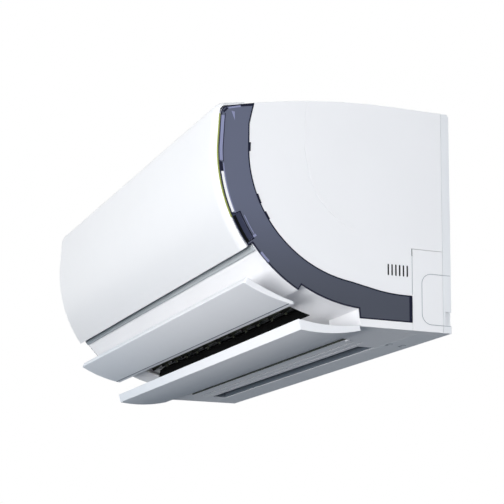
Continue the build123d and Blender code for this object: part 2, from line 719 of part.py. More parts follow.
def filter_path(inset):
    """Line that a filter follows, up behind the frame and back under the grille."""
    radius = FILTER_R - inset
    front = at(radius, 90)
    back = (FILTER_BACK, FILTER_TOP_Z + FILTER_RISE - inset)
    slope = FILTER_RISE / (FILTER_BACK - FILTER_TOP_Y)
    corner = (front[0], back[1] - slope * (FILTER_BACK - front[0]))
    over = FilletPolyline(front, corner, back, radius=FILTER_BEND - inset)
    return Curve() + [arc(radius, FILTER_LOW, 90), *over.edges()]


def air_filter(x0, x1):
    """Curved filter frame with its grid of ribs."""
    sheet = slab(trace(filter_path(0), FILTER_T), x0, x1)
    cell = (x1 - x0 - 2 * FILTER_EDGE) / FILTER_COLUMNS
    run = (FILTER_BACK - FILTER_TOP_Y - 2 * FILTER_EDGE) / FILTER_ROWS
    start = FILTER_TOP_Y + FILTER_EDGE
    tool = Box(cell - FILTER_RIB, run - FILTER_RIB, FILTER_BEND)
    columns = [x0 + FILTER_EDGE + cell * (i + 0.5) for i in range(FILTER_COLUMNS)]
    holes = [
        Pos(x, start + run * (j + 0.5), FILTER_TOP_Z + FILTER_RISE / 2) * tool
        for x in columns
        for j in range(FILTER_ROWS)
    ]
    for low in (FILTER_LOW + 3, FILTER_LOW + 15):
        hole = curved_bar(FILTER_R - 5, FILTER_R + 5, low, low + 9)
        half = (cell - FILTER_RIB) / 2
        holes += [slab(hole, x - half, x + half) for x in columns]
    return sheet - holes


# ---- heat exchanger and drain --------------------------------------------------------


def coil_frame(ends):
    """Middle, length and slope of a fin pack from its two end points."""
    (y0, z0), (y1, z1) = ends
    line = Line((y0, z0), (y1, z1))
    return line @ 0.5, line.length, Vector(y1 - y0, z1 - z0, 0)


def coil_outline(ends, grow):
    middle, length, slope = coil_frame(ends)
    turn = slope.get_signed_angle(Vector(1, 0, 0), Vector(0, 0, -1))
    shape = RectangleRounded(length + 2 * grow, COIL_T + 2 * grow, COIL_ROUND)
    return Pos(middle.X, middle.Y) * Rot(0, 0, turn) * shape


def fin_pack(ends):
    return slab(coil_outline(ends, 0), COIL_LEFT, COIL_RIGHT)


def coil_plates():
    """Sheet metal plates at both ends of the three fin packs."""
    shape = Sketch() + [coil_outline(ends, SEAT) for ends in COILS.values()]
    left = slab(shape, COIL_LEFT - PLATE_SHEET, COIL_LEFT)
    right = slab(shape, COIL_RIGHT, COIL_RIGHT + PLATE_SHEET)
    return [left, right]


def coil_port(coil, distance):
    """The point (y, z) at this distance from the middle of a fin pack."""
    middle, _, slope = coil_frame(COILS[coil])
    point = middle + slope.normalized() * distance
    return (point.X, point.Y)


def hairpin_places():
    """Middle and direction of every bend at the left end of the fin packs."""
    places = []
    for ends in COILS.values():
        middle, length, slope = coil_frame(ends)
        unit = slope.normalized()
        for i in range(HAIRPINS):
            along = length * ((i + 0.5) / HAIRPINS - 0.5)
            places.append((middle + unit * along, unit))
    return places


def bend_slot(centre, unit):
    """Slot that a bend passes through on its way out of the bulkhead."""
    turn = unit.get_signed_angle(Vector(1, 0, 0), Vector(0, 0, -1))
    shape = SlotCenterToCenter(2 * BEND_R, 2 * (TUBE_R + SEAM))
    face = Pos(centre.X, centre.Y) * Rot(0, 0, turn) * shape
    return slab(face, OUTLET_LEFT - BULKHEAD_T - 1, OUTLET_LEFT + 1)


def hairpin(centre, unit):
    """Half ring of tube that leaves the end plate and comes back to it."""
    x = COIL_LEFT - PLATE_SHEET
    tip = x - BEND_START - BEND_R

    def point(reach, along):
        side = centre + unit * along
        return (reach, side.X, side.Y)

    path = Line(point(x, -BEND_R), point(x - BEND_START, -BEND_R)) + ThreePointArc(
        point(x - BEND_START, -BEND_R), point(tip, 0), point(x - BEND_START, BEND_R)
    ) + Line(point(x - BEND_START, BEND_R), point(x, BEND_R))
    ring = Plane(origin=point(x, -BEND_R), z_dir=(-1, 0, 0)) * Circle(TUBE_R)
    return sweep(ring, path=path)


def drain_pan():
    """Trough under the front fin pack. Its underside is the roof of the air outlet."""
    low = at(BULKHEAD_R, MOUTH_HIGH + 1.5)
    front = at(BULKHEAD_R + 4, PANEL_LOW)
    y, z = PAN_TONGUE
    lip = z + PAN_REST
    shape = outline(
        Polyline(
            low, PAN_TONGUE, (y - 4.5, lip), (y - 4.5 - PAN_WALL, lip), (y - 18.5, z - 10),
            (y - 28.5, z - PAN_DEEP), (front[0] + 6, front[1] + 2), (front[0] - 6, front[1] + 41),
            (front[0] - 9.5, front[1] + 41), front, low,
        )
    )
    return slab(shape, OUTLET_LEFT + SEAT, OUTLET_RIGHT - SEAT)


def drain_spout():
    """Spout on the left, where the drain hose is pushed on."""
    x = OUTLET_LEFT - BULKHEAD_T - CLOSE
    tube = rod(SPOUT_R, x - SPOUT_LENGTH, x, SPOUT_AT)
    flange = rod(SPOUT_R + 5, x - 3, x, SPOUT_AT)
    return tube + flange - rod(SPOUT_R - SPOUT_WALL, -HALF, x - 2, SPOUT_AT)


# ---- fan -----------------------------------------------------------------------------
def crossflow_fan():
    """Long drum of curved blades, divided into cells by rings."""
    middle = (FAN_INNER_R + FAN_R) / 2 + 0.5
    blade = outline(
        ThreePointArc((FAN_INNER_R, 0), (middle, FAN_BLADE_RISE), (FAN_R, FAN_BLADE_TIP)),
        Line((FAN_R, FAN_BLADE_TIP), (FAN_R - 0.4, FAN_BLADE_TIP + FAN_BLADE_T)),
        ThreePointArc((FAN_R - 0.4, FAN_BLADE_TIP + FAN_BLADE_T),
                      (middle - 0.4, FAN_BLADE_RISE + FAN_BLADE_T), (FAN_INNER_R, FAN_BLADE_T)),
        Line((FAN_INNER_R, FAN_BLADE_T), (FAN_INNER_R, 0)),
    )
    turns = [Rot(0, 0, 360 / FAN_BLADES * i) * blade for i in range(FAN_BLADES)]
    drum = slab(Pos(FAN_Y, FAN_Z) * (Sketch() + turns), FAN_LEFT, FAN_RIGHT)
    ring = Circle(FAN_OUTER_R) - Circle(FAN_INNER_R - 1.5)
    cap = Circle(FAN_OUTER_R) - Circle(SHAFT_R)
    step = (FAN_RIGHT - FAN_LEFT - FAN_DISC_T) / FAN_CELLS
    for i in range(FAN_CELLS + 1):
        x = FAN_LEFT + step * i
        shape = cap if i in (0, FAN_CELLS) else ring
        drum += slab(Pos(FAN_Y, FAN_Z) * shape, x, x + FAN_DISC_T)
    return drum


def fan_shafts():
    """Stub in the bearing on the left and motor shaft on the right."""
    left = rod(SHAFT_R, OUTLET_LEFT - 2, FAN_LEFT + FAN_DISC_T, FAN_AXIS)
    right = rod(SHAFT_R, FAN_RIGHT - FAN_DISC_T, MOTOR_X + 10, FAN_AXIS)
    return [left, right]


def fan_bearing():
    return rod(BEARING_R - CLOSE, OUTLET_LEFT - BULKHEAD_T, OUTLET_LEFT, FAN_AXIS) - rod(
        SHAFT_R + RUN, -HALF, HALF, FAN_AXIS
    )


def fan_motor():
    """Round motor with a stepped nose and a bore for the fan's shaft."""
    can = rod(MOTOR_R, MOTOR_X, MOTOR_X + MOTOR_LENGTH, FAN_AXIS)
    can = fillet(can.edges(), 6)
    nose = rod(MOTOR_NOSE, OUTLET_RIGHT + 1, MOTOR_X + 1, FAN_AXIS)
    return can + nose - rod(SHAFT_R + RUN, 0, MOTOR_X + 11, FAN_AXIS)


def motor_clamp():
    """Moulded ring that holds the motor against the bulkhead."""
    shape = disc(MOTOR_R + CLAMP_T, FAN_AXIS) + Pos(FAN_Y, FAN_Z) * Rectangle(2 * MOTOR_R + 30, 18)
    shape -= disc(MOTOR_R + SEAT, FAN_AXIS)
    return slab(shape, OUTLET_RIGHT + BULKHEAD_T + CLOSE, MOTOR_X + 22)


# ---- flaps ---------------------------------------------------------------------------
def opened_upper(shape):
    return turned(shape, UPPER_PIVOT, UPPER_OPEN)


def opened_lower(shape):
    return turned(shape, LOWER_PIVOT, LOWER_OPEN)


def upper_flap():
    """Upper air flap, thick along its front edge and thin at the tail."""
    inner = FACE_R - UPPER_T
    tail = FACE_R - UPPER_TAIL
    middle = (UPPER_LOW + UPPER_HIGH) / 2
    shape = outline(
        arc(FACE_R, UPPER_LOW, UPPER_HIGH),
        Line(at(FACE_R, UPPER_HIGH), at(inner, UPPER_HIGH)),
        ThreePointArc(at(inner, UPPER_HIGH), at(inner + 1.2, middle), at(tail, UPPER_LOW)),
        Line(at(tail, UPPER_LOW), at(FACE_R, UPPER_LOW)),
    )
    return opened_upper(fillet_ends(slab(shape, -UPPER_X, UPPER_X)))


def fillet_ends(flap):
    """Round the four long-side corners of a flap, seen from below."""
    upright = flap.edges().filter_by(GeomType.LINE)
    corners = [edge for edge in upright if abs(edge.center().X) > UPPER_X - FLAP_ROUND
               and abs(edge.tangent_at(0).X) < 0.5]
    return fillet(corners, FLAP_ROUND)


def arm_outline():
    return disc(EYE_R, UPPER_PIVOT) + outline(
        Polyline(
            (UPPER_PIVOT[0] - 1, UPPER_PIVOT[1] + EYE_R - 0.2), at(FACE_R - UPPER_T + 0.6, 39),
            at(FACE_R - UPPER_TAIL - 1.6, 33), (UPPER_PIVOT[0] - EYE_R + 0.2, UPPER_PIVOT[1] - 1),
            (UPPER_PIVOT[0] - 1, UPPER_PIVOT[1] + EYE_R - 0.2),
        )
    )


def upper_flap_arms():
    """Three arms that carry the upper flap; the end ones have pins, the middle one a bore."""
    left = slab(arm_outline(), OUTLET_LEFT + SEAM, OUTLET_LEFT + SEAM + ARM_PLATE)
    left += rod(FLAP_PIN_R, OUTLET_LEFT - SKIN - 1, OUTLET_LEFT + 1, UPPER_PIVOT)
    right = slab(arm_outline(), OUTLET_RIGHT - SEAM - ARM_PLATE, OUTLET_RIGHT - SEAM)
    right += rod(FLAP_PIN_R, OUTLET_RIGHT - 1, OUTLET_RIGHT + SKIN + 1, UPPER_PIVOT)
    middle = slab(arm_outline(), OUTLET_MID - ARM_PLATE / 2, OUTLET_MID + ARM_PLATE / 2)
    middle -= rod(FLAP_PIN_R + RUN, -HALF, HALF, UPPER_PIVOT)
    return [opened_upper(arm) for arm in (left, right, middle)]


def roof_point(distance):
    """Point just under the outlet's roof, at this distance in from its mouth."""
    mouth = Vector(*at(BULKHEAD_R, MOUTH_HIGH + 1.5))
    along = (Vector(*PAN_TONGUE) - mouth).normalized()
    point = mouth + along * distance + Vector(along.Y, -along.X) * SEAT
    return (point.X, point.Y)


def hinge_bracket():
    """Bracket under the outlet's roof with the pin of the middle arm."""
    x = OUTLET_MID + ARM_PLATE / 2 + SEAM
    shape = disc(EYE_R, UPPER_PIVOT) + outline(
        Polyline(
            (UPPER_PIVOT[0] - EYE_R + 0.1, UPPER_PIVOT[1] + 0.6), roof_point(3), roof_point(20),
            (UPPER_PIVOT[0] + EYE_R - 0.1, UPPER_PIVOT[1] + 0.6),
            (UPPER_PIVOT[0] - EYE_R + 0.1, UPPER_PIVOT[1] + 0.6),
        )
    )
    pin = rod(FLAP_PIN_R, x - SEAM - ARM_PLATE - 1, x + 1, UPPER_PIVOT)
    return slab(shape, x, x + 3) + pin


def lower_flap():
    """Lower air flap: thick front edge, curved underside and a narrow tongue to the hinge."""
    rear = FOOT_ANGLE - 0.4
    inner = FACE_R - LOWER_T
    body = outline(
        arc(FACE_R, rear, LOWER_HIGH),
        Line(at(FACE_R, LOWER_HIGH), at(inner, LOWER_HIGH + 1.5)),
        ThreePointArc(at(inner, LOWER_HIGH + 1.5), at(inner + 2.6, 14), at(FACE_R - LOWER_TAIL, rear)),
        Line(at(FACE_R - LOWER_TAIL, rear), at(FACE_R, rear)),
    )
    tongue = disc(TONGUE_R, LOWER_PIVOT) + outline(
        Polyline(
            (LOWER_PIVOT[0], LOWER_PIVOT[1] - TONGUE_R), at(FACE_R, rear + 0.5),
            at(FACE_R - LOWER_TAIL, rear + 0.5), (LOWER_PIVOT[0], LOWER_PIVOT[1] + TONGUE_R),
            (LOWER_PIVOT[0], LOWER_PIVOT[1] - TONGUE_R),
        )
    )
    flap = slab(body, -LOWER_X, LOWER_X)
    flap += slab(tongue, OUTLET_LEFT + TONGUE_GAP, OUTLET_RIGHT - TONGUE_SHORT)
    return opened_lower(flap)


def lower_flap_pins():
    left = rod(FLAP_PIN_R, OUTLET_LEFT - 6, OUTLET_LEFT + TONGUE_GAP, LOWER_PIVOT)
    right = rod(FLAP_PIN_R, OUTLET_RIGHT - TONGUE_SHORT, OUTLET_RIGHT + 1, LOWER_PIVOT)
    return [left, right]


# ---- vanes ---------------------------------------------------------------------------
def vane_place(x):
    """Plane of a vane on the rail: x downstream, y along the unit, z out of the rail."""
    flow = (Vector(0, *GUIDE_END) - Vector(0, *guide_at(0, GUIDE_LOW))).normalized()
    lift = Vector(0, flow.Z, -flow.Y)
    origin = Vector(x, *GUIDE_END) - flow * RAIL_BACK + lift * (RAIL_T + SEAT)
    return Plane(origin=origin, x_dir=flow, z_dir=lift)


def vane_places(side):
    return [OUTLET_MID + side * (VANE_FIRST + VANE_PITCH * i) for i in range(VANES_PER_GROUP)]


def vane(x):
    """Upright vane with its pivot below and a link pin upstream."""
    side = Polyline(
        (-VANE_BEHIND, VANE_LIFT), (VANE_AHEAD, VANE_LIFT), (VANE_AHEAD, VANE_HEIGHT),
        (-VANE_TOP_BEHIND, VANE_HEIGHT), (-VANE_BEHIND, VANE_LIFT + 14), (-VANE_BEHIND, VANE_LIFT),
    )
    face = make_face(side)
    face = fillet(face.vertices().group_by(Axis.Y)[-1], VANE_ROUND)
    blade = Pos(0, VANE_T / 2, 0) * Rot(90, 0, 0) * extrude(face, amount=VANE_T)
    pivot = Pos(0, 0, VANE_LIFT / 2) * Cylinder(VANE_PIN_R, VANE_LIFT + 8)
    reach = VANE_LIFT - LINK_LIFT + 5
    link = Pos(-VANE_ARM, 0, (LINK_LIFT + VANE_LIFT) / 2) * Cylinder(LINK_PIN_R, reach)
    return vane_place(x) * (blade + pivot + link)


def vane_rail():
    """Rail on the outlet's floor with a bore for every vane."""
    place = vane_place(OUTLET_MID)
    length = OUTLET_RIGHT - OUTLET_LEFT - 2 * SEAM
    bar = Pos(0, 0, -RAIL_T / 2) * Box(RAIL_W, length, RAIL_T)
    bores = [Pos(0, y, -RAIL_T / 2) * Cylinder(VANE_PIN_R + RUN, RAIL_T + 1) for y in rail_offsets()]
    return place * (bar - bores)


def rail_offsets():
    steps = [VANE_FIRST + VANE_PITCH * i for i in range(VANES_PER_GROUP)]
    return steps + [-step for step in steps]


def vane_link(side):
    """Flat rod with a slotted hole for every link pin of one group."""
    middle = VANE_FIRST + VANE_PITCH * (VANES_PER_GROUP - 1) / 2
    span = VANE_PITCH * (VANES_PER_GROUP - 1) + 14
    bar = Box(2 * (LINK_PIN_R + LINK_PLAY) + LINK_SWAY + 3, span, LINK_T)
    slot = SlotOverall(2 * (LINK_PIN_R + LINK_PLAY) + LINK_SWAY, 2 * (LINK_PIN_R + LINK_PLAY))
    offsets = [VANE_PITCH * (i - (VANES_PER_GROUP - 1) / 2) for i in range(VANES_PER_GROUP)]
    for y in offsets:
        bar -= Pos(0, y, -LINK_T) * extrude(slot, amount=2 * LINK_T)
    place = vane_place(OUTLET_MID + side * middle)
    return place * Pos(-VANE_ARM + LINK_SWAY / 2, 0, LINK_LIFT + LINK_T / 2) * bar


# ---- wall plate, pipes and electrics -------------------------------------------------
def wall_plate():
    """Pressed plate screwed to the wall, with a flange all round and two hooks."""
    depth = REAR_DEPTH - SKIN - SEAT
    sheet = block(-PLATE_X / 2, PLATE_X / 2, -depth, 0, PLATE_LOW, PLATE_HIGH)
    sheet -= block(-PLATE_X / 2 + PLATE_T, PLATE_X / 2 - PLATE_T, -depth - 1, -PLATE_T,
                   PLATE_LOW + PLATE_T, PLATE_HIGH - PLATE_T)
    for x in (-PLATE_X / 2 + HOOK_AT, PLATE_X / 2 - HOOK_AT - HOOK_W):
        sheet += block(x, x + HOOK_W, -depth - 5, -depth + 1, PLATE_HIGH - PLATE_T, PLATE_HIGH)
    bead = extrude(SlotOverall(BEAD_LENGTH, BEAD_W, 90), BEAD_T)
    for x in (-PLATE_HOLE_X / 3, 0, PLATE_HOLE_X / 3):
        sheet += Pos(x, -PLATE_T, PLATE_Z) * Rot(90, 0, 0) * bead
    holes = [
        Pos(sx * PLATE_HOLE_X / 2, 0, PLATE_Z + sz * PLATE_HOLE_Z / 2)
        * Rot(90, 0, 0) * Cylinder(PLATE_HOLE_R, 3 * PLATE_T)
        for sx in (-1, 1)
        for sz in (-1, 1)
    ]
    return sheet - holes


def coil_pipe(radius, bend, port, out, behind, end):
    """Pipe from the rear fin pack, down the right end and along the back of the foot."""
    x = COIL_RIGHT + PLATE_SHEET
    y, z = coil_port("rear", port)
    far = x + out
    points = [(x, y, z), (far, y, z), (far, y, behind[1]), (far, *behind), (end, *behind)]
    ring = Plane(origin=points[0], z_dir=(1, 0, 0)) * Circle(radius)
    return sweep(ring, path=FilletPolyline(*points, radius=bend))


def gas_pipe():
    return coil_pipe(GAS_R, GAS_BEND, GAS_PORT, GAS_OUT, GAS_AT, GAS_END)


def liquid_pipe():
    return coil_pipe(LIQUID_R, LIQUID_BEND, 0, LIQUID_OUT, LIQUID_AT, LIQUID_END)


def flare_union(x, centre, radius, across, thread):
    """Hexagon and threaded end, brazed on the end of a pipe for the flare nut of its mate."""
    hexagon = Pos(centre[0], centre[1]) * RegularPolygon(across / 2, 6, major_radius=False)
    body = slab(hexagon, x - UNION_HEX, x)
    body += rod(thread, x - UNION_HEX - UNION_THREAD, x - UNION_HEX, centre)
    body -= rod(radius + RUN, x - UNION_HEX / 2, x + 1, centre)
    return body - rod(radius - 1, x - UNION_HEX - UNION_THREAD - 1, x + 1, centre)


def control_box():
    """Tray of the electrics beside the fin packs, open to the right."""
    outer = block(BOX_X, BOX_RIGHT, BOX_FRONT, BOX_BACK, BOX_LOW, BOX_HIGH)
    return outer - block(BOX_X + BOX_T, BOX_RIGHT + 1, BOX_FRONT + BOX_T, BOX_BACK - BOX_T,
                         BOX_LOW + BOX_T, BOX_HIGH - BOX_T)


def box_lid():
    return block(BOX_RIGHT + CLOSE, BOX_RIGHT + CLOSE + BOX_T, BOX_FRONT, BOX_BACK, BOX_LOW, BOX_HIGH)


def circuit_board():
    """Board on four posts, with its larger components."""
    x = BOX_X + BOX_T
    y0, y1 = BOX_FRONT + 5, BOX_BACK - 5
    z0, z1 = BOX_LOW + 38, BOX_HIGH - 6
    face = x + BOARD_LIFT + BOARD_T
    board = block(x + BOARD_LIFT, face, y0, y1, z0, z1)
    for y in (y0 + 4, y1 - 4):
        for z in (z0 + 4, z1 - 4):
            board += rod(2, x, x + BOARD_LIFT + 1, (y, z))
    board += block(face - 1, face + 19, y0 + 10, y0 + 34, z1 - 32, z1 - 10)
    board += rod(8, face - 1, face + 23, (y1 - 18, z1 - 20))
    board += rod(6, face - 1, face + 18, (y1 - 18, z0 + 16))
    board += block(face - 1, face + 14, y0 + 12, y0 + 40, z0 + 8, z0 + 26)
    return board


def terminal_block():
    """Block of screw terminals below the board."""
    x = BOX_X + BOX_T
    y0, y1 = BOX_FRONT + 14, BOX_BACK - 18
    z = BOX_LOW + BOX_T + 4
    body = block(x, x + 16, y0, y1, z, z + 24)
    pitch = (y1 - y0) / TERMINALS
    for i in range(TERMINALS):
        middle = y0 + pitch * (i + 0.5)
        half = pitch / 2 - 1.2
        body -= block(x + 10, x + 17, middle - half, middle + half, z + 4, z + 20)
        body += rod(3.2, x + 9, x + 13, (middle, z + 12))
    return body


def room_sensor():
    """Small sensor on its holder behind the slots of the right end cover."""
    middle = SLOT_FIRST_Y + SLOT_PITCH * (SLOTS - 1) / 2
    low, high = SLOT_LOW - 4, SLOT_HIGH + 4
    holder = block(INSIDE_X - 9, INSIDE_X - CLOSE, middle - 16, middle - 14, low, high)
    back = block(INSIDE_X - 9, INSIDE_X - 7.5, middle - 15, middle + 15, low, high)
    bead = Pos(INSIDE_X - 5.5, middle, (SLOT_LOW + SLOT_HIGH) / 2) * Sphere(2.4)
    return holder + back + bead


def stepper(x0, x1, centre):
    """Flat round geared motor with two ears."""
    ears = Pos(centre[0], centre[1]) * SlotOverall(36, 8)
    can = rod(STEPPER_R, x0, x1, centre)
    ear_t = 1.5 if x1 > x0 else -1.5
    return can + slab(ears, x0, x0 + ear_t)


def flap_motors():
    x = OUTLET_LEFT - BULKHEAD_T - CLOSE
    places = (at(BULKHEAD_R - 20, 33), at(BULKHEAD_R - 34, 18))
    return [stepper(x, x - STEPPER_T, place) for place in places]


def vane_motor():
    x = OUTLET_RIGHT + BULKHEAD_T + CLOSE
    return stepper(x, x + STEPPER_T, at(BULKHEAD_R - 24, 24))


os.makedirs("parts", exist_ok=True)

right_cover = end_cover() - sensor_slots()
left_cover = mirror(end_cover(), about=Plane.YZ)
keep("end_cover_right", right_cover)
keep("end_cover_left", left_cover)
keep("service_cover_right", service_cover())
keep("service_cover_left", mirror(service_cover(), about=Plane.YZ))
keep("side_trim_right", side_trim() - receiver_lens(CLOSE))
keep("receiver_lens", receiver_lens(0))
keep("side_trim_left", mirror(side_trim(), about=Plane.YZ))
keep("lower_cover", lower_cover())
keep("silver_strip", silver_strip())
keep("bottom_cover", bottom_cover())
keep("top_cover", top_cover())
keep("rear_casing", rear_casing())
keep("front_panel", front_panel())
keep("panel_arms", *panel_arms())
keep("inner_frame", inner_frame())
keep("air_filter_left", air_filter(OUTLET_LEFT - FILTER_OVER, OUTLET_MID - SEAT))
keep("air_filter_right", air_filter(OUTLET_MID + SEAT, OUTLET_RIGHT + FILTER_OVER))
for coil, ends in COILS.items():
    keep(f"fin_pack_{coil}", fin_pack(ends))
keep("coil_plates", *coil_plates())
keep("hairpin_bends", *[hairpin(centre, unit) for centre, unit in hairpin_places()])
keep("drain_pan", drain_pan())
keep("drain_spout", drain_spout())
keep("crossflow_fan", crossflow_fan())
keep("fan_shafts", *fan_shafts())
keep("fan_bearing", fan_bearing())
keep("fan_motor", fan_motor())
keep("motor_clamp", motor_clamp())
keep("upper_flap", upper_flap())
keep("upper_flap_arms", *upper_flap_arms())
keep("hinge_bracket", hinge_bracket())
keep("lower_flap", lower_flap())
keep("lower_flap_pins", *lower_flap_pins())
for side, name in ((-1, "left"), (1, "right")):
    for number, x in enumerate(vane_places(side), 1):
        keep(f"vane_{name}_{number}", vane(x))
    keep(f"vane_link_{name}", vane_link(side))
keep("vane_rail", vane_rail())
keep("wall_plate", wall_plate())
keep("gas_pipe", gas_pipe())
keep("liquid_pipe", liquid_pipe())
keep(
    "flare_unions",
    flare_union(GAS_END + UNION_HEX / 2 - SEAT, GAS_AT, GAS_R, GAS_HEX, GAS_THREAD),
    flare_union(LIQUID_END + UNION_HEX / 2 - SEAT, LIQUID_AT, LIQUID_R, LIQUID_HEX, LIQUID_THREAD),
)
keep("control_box", control_box())
keep("box_lid", box_lid())
keep("circuit_board", circuit_board())
keep("terminal_block", terminal_block())
keep("room_sensor", room_sensor())
keep("flap_motors", *flap_motors())
keep("vane_motor", vane_motor())
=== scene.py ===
import bpy
import bmesh
import json
from math import cos, pi, radians, sin
from mathutils import Matrix, Vector


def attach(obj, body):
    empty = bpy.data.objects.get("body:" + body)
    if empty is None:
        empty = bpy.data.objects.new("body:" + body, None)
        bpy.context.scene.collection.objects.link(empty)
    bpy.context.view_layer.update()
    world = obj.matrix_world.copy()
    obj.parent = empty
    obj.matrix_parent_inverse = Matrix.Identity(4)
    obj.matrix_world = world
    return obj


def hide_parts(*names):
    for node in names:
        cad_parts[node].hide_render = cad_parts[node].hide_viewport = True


# Visual model of a mini split indoor unit. The frame of the part is in metres: X along the
# unit, Y into the wall, Z up, origin in the middle of the wall plate. The sizes below are in
# millimetres, with heights counted from the unit's underside; place() turns them into the frame.

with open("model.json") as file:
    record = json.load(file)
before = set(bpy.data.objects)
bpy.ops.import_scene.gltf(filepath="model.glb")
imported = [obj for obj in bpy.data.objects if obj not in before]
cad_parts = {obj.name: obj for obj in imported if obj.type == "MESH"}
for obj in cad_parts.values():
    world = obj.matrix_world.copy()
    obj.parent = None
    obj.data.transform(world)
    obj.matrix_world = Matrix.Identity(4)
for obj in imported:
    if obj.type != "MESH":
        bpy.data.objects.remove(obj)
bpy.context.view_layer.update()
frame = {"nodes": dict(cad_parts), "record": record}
nodes = frame["nodes"]

MM = 0.001
PLATE_Z = 155.0          # height of the origin above the unit's underside


def add_object(name, data):
    """Puts a mesh, a lamp or a camera into the scene."""
    added = bpy.data.objects.new(name, data)
    bpy.context.scene.collection.objects.link(added)
    return added


# ---- camera --------------------------------------------------------------------------
CAMERA_AT = (2.0693, -0.9169, -0.4870)     # metres
CAMERA_YAW = -69.03                        # degrees, as the next two
CAMERA_PITCH = 13.01
CAMERA_ROLL = 0.82
FOCAL_PIXELS = 1488.1
PICTURE_PIXELS = 504
SENSOR = 36


def camera_matrix():
    """Places the camera where the photograph was taken from."""
    yaw, pitch, roll = radians(CAMERA_YAW), radians(CAMERA_PITCH), radians(CAMERA_ROLL)
    ahead = Vector((sin(yaw) * cos(pitch), cos(yaw) * cos(pitch), sin(pitch)))
    level = Vector((cos(yaw), -sin(yaw), 0))
    upright = level.cross(ahead)
    right = cos(roll) * level + sin(roll) * upright
    up = -sin(roll) * level + cos(roll) * upright
    turn = Matrix((right, up, -ahead)).transposed().to_4x4()
    return Matrix.Translation(CAMERA_AT) @ turn


camera_data = bpy.data.cameras.new("camera")
camera_data.sensor_width = SENSOR
camera_data.lens = FOCAL_PIXELS / PICTURE_PIXELS * SENSOR
camera = add_object("camera", camera_data)
camera.matrix_world = camera_matrix()
bpy.context.scene.camera = camera


# ---- materials -----------------------------------------------------------------------
# scale and detail of the noise behind each kind of unevenness
TONE_NOISE = (9.0, 3.0)
GLOSS_NOISE = (35.0, 4.0)
GRAIN_NOISE = (1400.0, 2.0)
METAL_NOISE = (60.0, 5.0)
NOISE_RANGE = (0.35, 0.65)       # where most values of a noise lie
GLOSS_SWING = (0.92, 1.08)       # how far a moulding's roughness goes down and up
METAL_SWING = (0.8, 1.25)
GRAIN_DEPTH = 0.0002             # metres
ZINC_CRYSTALS = 160.0


def srgb(code):
    """Linear colour of a six-digit sRGB code."""
    parts = [int(code[i:i + 2], 16) / 255 for i in (0, 2, 4)]
    return [p / 12.92 if p <= 0.04045 else ((p + 0.055) / 1.055) ** 2.4 for p in parts] + [1.0]


def duller(colour, shade):
    """The linear colour made darker by this share."""
    return [c * (1 - shade) for c in colour[:3]] + [1.0]


def new_material(name):
    """A new material with its node tree and its shader."""
    material = bpy.data.materials.new(name)
    material.use_nodes = True
    return material, material.node_tree, material.node_tree.nodes["Principled BSDF"]


def noise(tree, scale, detail, stretch=(1, 1, 1)):
    """Noise on Object coordinates, with its own stretch along each axis."""
    coordinates = tree.nodes.new("ShaderNodeTexCoord")
    mapping = tree.nodes.new("ShaderNodeMapping")
    mapping.inputs["Scale"].default_value = stretch
    texture = tree.nodes.new("ShaderNodeTexNoise")
    texture.inputs["Scale"].default_value = scale
    texture.inputs["Detail"].default_value = detail
    tree.links.new(coordinates.outputs["Object"], mapping.inputs["Vector"])
    tree.links.new(mapping.outputs["Vector"], texture.inputs["Vector"])
    return texture.outputs["Fac"]


def spread(tree, value, low, high):
    """A noise value stretched out to fill the range from low to high."""
    ramp = tree.nodes.new("ShaderNodeMapRange")
    ramp.inputs["From Min"].default_value, ramp.inputs["From Max"].default_value = NOISE_RANGE
    ramp.inputs["To Min"].default_value = low
    ramp.inputs["To Max"].default_value = high
    tree.links.new(value, ramp.inputs["Value"])
    return ramp.outputs["Result"]


def mixed(tree, factor, first, second):
    """Colour that goes from the first to the second with a value from 0 to 1."""
    mix = tree.nodes.new("ShaderNodeMix")
    mix.data_type = "RGBA"
    for socket, colour in (("A", first), ("B", second)):
        if isinstance(colour, bpy.types.NodeSocket):
            tree.links.new(colour, mix.inputs[socket])
        else:
            mix.inputs[socket].default_value = colour
    tree.links.new(factor, mix.inputs["Factor"])
    return mix.outputs["Result"]


def along(tree, axis, start, end):
    """Value that goes from 0 to 1 between two places along an axis of the object."""
    coordinates = tree.nodes.new("ShaderNodeTexCoord")
    split = tree.nodes.new("ShaderNodeSeparateXYZ")
    tree.links.new(coordinates.outputs["Object"], split.inputs["Vector"])
    ramp = tree.nodes.new("ShaderNodeMapRange")
    ramp.interpolation_type = "SMOOTHSTEP"
    ramp.inputs["From Min"].default_value = start
    ramp.inputs["From Max"].default_value = end
    tree.links.new(split.outputs[axis], ramp.inputs["Value"])
    return ramp.outputs["Result"]


def moulded(name, colour, roughness, shade=0.02, grain=0.0, specular=0.5, fade=None):
    """Plastic: slight unevenness of tone and gloss, a fine mould grain if grain is set, and
    a second colour that it fades to along an axis, given as (colour, axis, start, end)."""
    material, tree, shader = new_material(name)
    base = srgb(colour)
    patches = spread(tree, noise(tree, *TONE_NOISE), 0.0, 1.0)
    tone = mixed(tree, patches, base, duller(base, shade))
    if fade:
        other, axis, start, end = fade
        tone = mixed(tree, along(tree, axis, start, end), tone, srgb(other))
    tree.links.new(tone, shader.inputs["Base Color"])
    low, high = (roughness * share for share in GLOSS_SWING)
    rough = spread(tree, noise(tree, *GLOSS_NOISE), low, high)
    tree.links.new(rough, shader.inputs["Roughness"])
    shader.inputs["Specular IOR Level"].default_value = specular
    if grain:
        bump = tree.nodes.new("ShaderNodeBump")
        bump.inputs["Strength"].default_value = grain
        bump.inputs["Distance"].default_value = GRAIN_DEPTH
        tree.links.new(noise(tree, *GRAIN_NOISE), bump.inputs["Height"])
        tree.links.new(bump.outputs["Normal"], shader.inputs["Normal"])
    return material


